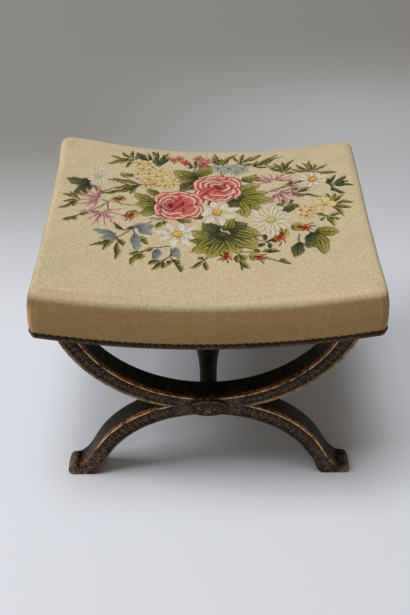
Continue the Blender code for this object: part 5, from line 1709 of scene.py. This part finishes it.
class STOOL_OT_nails(bpy.types.Operator):
    """Set the row of domed nails along the foot of the cover"""
    bl_idname = "stool.nails"
    bl_label = "Nails"

    def execute(self, context):
        nails = context.scene.stool_nails
        line = self.line(nails)
        length = sum(math.dist(first, second) for first, second in zip(line, line[1:] + line[:1]))
        tree = self.tree(bronzed_brass())
        sizes = {"Count": round(length / nails.pitch), "Radius": nails.radius, "Rise": nails.rise}
        row = tree.apply_to(path_object("upholstery_nails", line), sizes)
        soften(row.data, 60)
        finished(row, "bronzed_brass", "front_nail_row", "back_nail_row", "left_nail_row", "right_nail_row")
        return {"FINISHED"}

    def line(self, nails):
        """Once round the cover, a nail's height over the seat's foot."""
        core = np.array((HALF_X - FOOT_CORNER - SIDE_NAIL_INSET, HALF_Y - FOOT_CORNER))
        rounds = []
        for corner, start in (((1, -1), -90), ((1, 1), 0), ((-1, 1), 90), ((-1, -1), 180)):
            turns = np.radians(np.linspace(start, start + 90, CORNER_PLACES))
            round_place = np.column_stack([np.cos(turns), np.sin(turns)]) * (FOOT_CORNER - CLEAR)
            rounds.append(core * corner + round_place)
        points = []
        for bend, following in zip(rounds, rounds[1:] + rounds[:1]):
            points.append(bend)
            points.append(np.linspace(bend[-1], following[0], SIDE_PLACES)[1:-1])
        foot = rail_foot() + nails.height
        return [(x, y, foot + seat_dish(x)) for x, y in np.concatenate(points).tolist()]

    def tree(self, material):
        """One domed head on each point of the line, each a little turned and sized by chance."""
        tree = GeometryTree("nail row", {"Count": ("Int", 170), "Radius": ("Float", 0.0053),
                                         "Rise": ("Float", 0.003), "Seed": ("Int", 7)})
        curve = tree.add("GeometryNodeMeshToCurve", {}, {"Mesh": tree.input("Geometry")})
        spaced = tree.add("GeometryNodeResampleCurve", {}, {"Curve": curve, "Count": tree.input("Count")})
        ball = tree.add("GeometryNodeMeshUVSphere", {}, {"Segments": 10, "Rings": 6, "Radius": 1.0})
        place = tree.add("GeometryNodeInputPosition")
        up = tree.add("ShaderNodeSeparateXYZ", {}, {0: place}, out="Z")
        marked = tree.add("GeometryNodeStoreNamedAttribute", {"data_type": "FLOAT", "domain": "POINT"},
                          {"Geometry": ball, "Name": "crown", "Value": up})
        size = tree.add("ShaderNodeCombineXYZ", {}, {0: tree.input("Radius"), 1: tree.input("Radius"),
                                                     2: tree.input("Rise")})
        head = tree.add("GeometryNodeTransform", {}, {"Geometry": marked, "Scale": size})
        tangent = tree.add("GeometryNodeInputTangent")
        outward = tree.add("ShaderNodeVectorMath", {"operation": "CROSS_PRODUCT"},
                           {0: tangent, 1: (0, 0, 1)})
        facing = tree.add("FunctionNodeAlignRotationToVector", {"axis": "Z"}, {"Vector": outward})
        jitter = tree.add("FunctionNodeRandomValue", {"data_type": "FLOAT_VECTOR"},
                          {0: (-0.1, -0.1, -0.1), 1: (0.1, 0.1, 0.1), "Seed": tree.input("Seed")})
        turned = tree.add("FunctionNodeRotateRotation", {}, {"Rotation": facing, "Rotate By": jitter})
        scale = tree.add("FunctionNodeRandomValue", {"data_type": "FLOAT"},
                         {2: 0.95, 3: 1.05, "Seed": tree.input("Seed")}, out=1)
        placed = tree.add("GeometryNodeInstanceOnPoints", {},
                          {"Points": spaced, "Instance": head, "Rotation": turned, "Scale": scale})
        tree.end(placed, material)
        return tree


TENON = 0.008
TURNING_SHARES = (
    (0.000, 1.00), (0.022, 1.00), (0.040, 0.93), (0.050, 0.80), (0.066, 0.76),
    (0.080, 0.83), (0.130, 0.90), (0.200, 0.92), (0.280, 0.87), (0.350, 0.79),
    (0.420, 0.71), (0.500, 0.64), (0.600, 0.58), (0.760, 0.54), (0.900, 0.54),
    (1.000, 0.57),
)


class STOOL_OT_stretcher(bpy.types.Operator):
    """Turn the bar between the two frames"""
    bl_idname = "stool.stretcher"
    bl_label = "Turned stretcher"

    def execute(self, context):
        low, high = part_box("stretcher")
        half = -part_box("front_leg_left")[1].y - CLEAR
        collar = (high.x - low.x) / 2
        middle = (low.z + high.z) / 2
        knots, sizes = np.array(TURNING_SHARES).T
        fine = np.unique(np.concatenate([np.linspace(0, 1, 90), knots]))
        radius = np.interp(fine, knots, sizes) * collar
        radius = np.convolve(np.pad(radius, 2, mode="edge"), (0.1, 0.2, 0.4, 0.2, 0.1), mode="valid")
        profile = [(0, low.y), (TENON, low.y), (TENON, -half)]
        profile += [(r, -y * half) for r, y in zip(radius[::-1], fine[::-1])]
        profile += [(r, y * half) for r, y in zip(radius[1:], fine[1:])]
        profile += [(TENON, half), (TENON, high.y), (0, high.y)]
        turns = 48
        angle = np.linspace(0, 2 * math.pi, turns, endpoint=False)
        r, y = np.array(profile).T[..., None]
        points = np.stack([r * np.cos(angle), y + 0 * angle, middle + r * np.sin(angle)], -1).reshape(-1, 3)
        faces = grid_faces(len(profile), turns, closed=True)
        mesh = mesh_of("turned_stretcher", points, faces, {"foot_wear": np.full(len(points), 0.12)})
        bar = bare_object("turned_stretcher", soften(mesh, 40), bpy.data.materials["carved dark wood"])
        finished(bar, "carved_wood", "stretcher")
        return {"FINISHED"}


class STOOL_OT_seat_frame(bpy.types.Operator):
    """Give the rails, blocks and dowels their bare wood"""
    bl_idname = "stool.seat_frame"
    bl_label = "Seat frame"

    def execute(self, context):
        wood = beech()
        for name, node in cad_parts.items():
            if any(word in name for word in BEECH_WORDS):
                node.data.materials.clear()
                node.data.materials.append(wood)
        return {"FINISHED"}


# Name, place, width, and power as a share of the large lamp's setting
LAMPS = (
    ("window", (-2.55, -0.42, 3.9), 1.8, 1.95),
    ("ceiling", (-0.35, -0.27, 4.65), 1.5, 2.22),
    ("front", (-0.5, -2.6, 2.2), 1.6, 0.09),
)
LAMP_AIM = (0, 0, 0.3)
SKY_COLOUR = (1.0, 0.86, 0.66, 1)
PAPER_REACH = 4.0
PAPER_BEND = 0.9
PAPER_TOP = 3.5


class STOOL_OT_studio(bpy.types.Operator):
    """Set the camera, the lamps, the floor and the backdrop"""
    bl_idname = "stool.studio"
    bl_label = "Studio"

    def execute(self, context):
        studio = context.scene.stool_studio
        context.scene.view_settings.view_transform = "Standard"
        self.camera(context, studio)
        self.lamps(context, studio)
        self.backdrop()
        return {"FINISHED"}

    def camera(self, context, studio):
        """A level pinhole camera, turned by yaw, pitch and roll towards its target."""
        back = Vector((math.sin(studio.yaw) * math.cos(studio.pitch),
                       -math.cos(studio.yaw) * math.cos(studio.pitch), math.sin(studio.pitch)))
        right = Vector((math.cos(studio.yaw), math.sin(studio.yaw), 0))
        up = back.cross(right)
        lean = studio.roll
        across = math.cos(lean) * right + math.sin(lean) * up
        upright = math.cos(lean) * up - math.sin(lean) * right
        data = bpy.data.cameras.new("camera")
        data.sensor_width = SENSOR
        data.lens = studio.focal_pixels * SENSOR / PICTURE_HEIGHT
        camera = bpy.data.objects.new("camera", data)
        context.scene.collection.objects.link(camera)
        turn = Matrix((across, upright, back)).transposed().to_4x4()
        camera.matrix_world = Matrix.Translation(Vector(studio.target) + back * studio.distance) @ turn
        context.scene.camera = camera

    def lamps(self, context, studio):
        """Even warm light from the room, a large window at the left and two lesser lamps."""
        world = bpy.data.worlds.new("room")
        context.scene.world = world
        world.use_nodes = True
        tree = Tree(world.node_tree)
        light = tree.add("ShaderNodeBackground", {}, {"Color": SKY_COLOUR, "Strength": studio.sky})
        output = tree.tree.nodes.new("ShaderNodeOutputWorld")
        tree.feed(output.inputs[0], light)
        for name, place, size, share in LAMPS:
            data = bpy.data.lights.new(name, "AREA")
            data.size = size
            data.energy = studio.key_power * share
            lamp = bpy.data.objects.new(name, data)
            lamp.location = place
            lamp.rotation_euler = (Vector(LAMP_AIM) - Vector(place)).to_track_quat("-Z", "Y").to_euler()
            context.scene.collection.objects.link(lamp)

    def backdrop(self):
        """Paper that runs forward along the floor and curves up behind."""
        paper = Finish("pale paper", {"Specular IOR Level": 0.1, "Roughness": 0.9})
        across, along, _ = paper.split(paper.place)
        mottle = paper.noise(1.6, 2)
        # Painted shade: the paper goes from pale at the front to grey towards the back and up the sweep,
        # less grey at the right of the floor, in place of the lamps' falloff
        right = across.ease(-0.45, 0.45) * (1 - along.ease(0.95, 1.35))
        far = along.ease(0.1, 1.0) * (1 - 0.47 * right)
        tone = paper.mix(linear(213, 217, 227), linear(138, 137, 134), far)
        paper.colour(paper.tint(tone, 0.98 + 0.04 * mottle))
        profile = [(-PAPER_REACH, 0.0), (PAPER_BEND, 0.0)]
        profile += [(PAPER_BEND * (1 + math.sin(angle)), PAPER_BEND * (1 - math.cos(angle)))
                    for angle in np.linspace(0.1, math.pi / 2, 14)]
        profile += [(2 * PAPER_BEND, PAPER_TOP)]
        points = [(x, y, z) for y, z in profile for x in (-PAPER_REACH, PAPER_REACH)]
        faces = [(2 * n, 2 * n + 1, 2 * n + 3, 2 * n + 2) for n in range(len(profile) - 1)]
        mesh = bpy.data.meshes.new("backdrop")
        mesh.from_pydata(points, [], faces)
        mesh.shade_smooth()
        bare_object("backdrop", mesh, paper.material)


class STOOL_PT_panel(bpy.types.Panel):
    """The stool's pieces, in the order in which they are made"""
    bl_idname = "STOOL_PT_panel"
    bl_label = "Curule stool"
    bl_space_type = "VIEW_3D"
    bl_region_type = "UI"
    bl_category = "Stool"

    def draw(self, context):
        for name, group in SETTINGS.items():
            box = self.layout.box()
            settings = getattr(context.scene, name)
            for key in group.__annotations__:
                box.prop(settings, key)
        for operator in OPERATORS:
            self.layout.operator(operator.bl_idname)


SETTINGS = {"stool_seat": SeatSettings, "stool_frame": FrameSettings, "stool_nails": NailSettings,
            "stool_studio": StudioSettings}
OPERATORS = (STOOL_OT_studio, STOOL_OT_legs, STOOL_OT_medallions, STOOL_OT_stretcher, STOOL_OT_seat_frame,
             STOOL_OT_webbing, STOOL_OT_stuffing, STOOL_OT_cover, STOOL_OT_nails)


def register():
    """Adds the settings, the operators and the panel to Blender."""
    for group in SETTINGS.values():
        bpy.utils.register_class(group)
    for name, group in SETTINGS.items():
        setattr(bpy.types.Scene, name, bpy.props.PointerProperty(type=group))
    for operator in (*OPERATORS, STOOL_PT_panel):
        bpy.utils.register_class(operator)


def unregister():
    """Takes them out again."""
    for operator in (STOOL_PT_panel, *reversed(OPERATORS)):
        bpy.utils.unregister_class(operator)
    for name, group in SETTINGS.items():
        delattr(bpy.types.Scene, name)
        bpy.utils.unregister_class(group)


def main():
    """Makes the stool and its studio."""
    register()
    for operator in OPERATORS:
        group, name = operator.bl_idname.split(".")
        getattr(getattr(bpy.ops, group), name)()


if __name__ == "__main__":
    main()
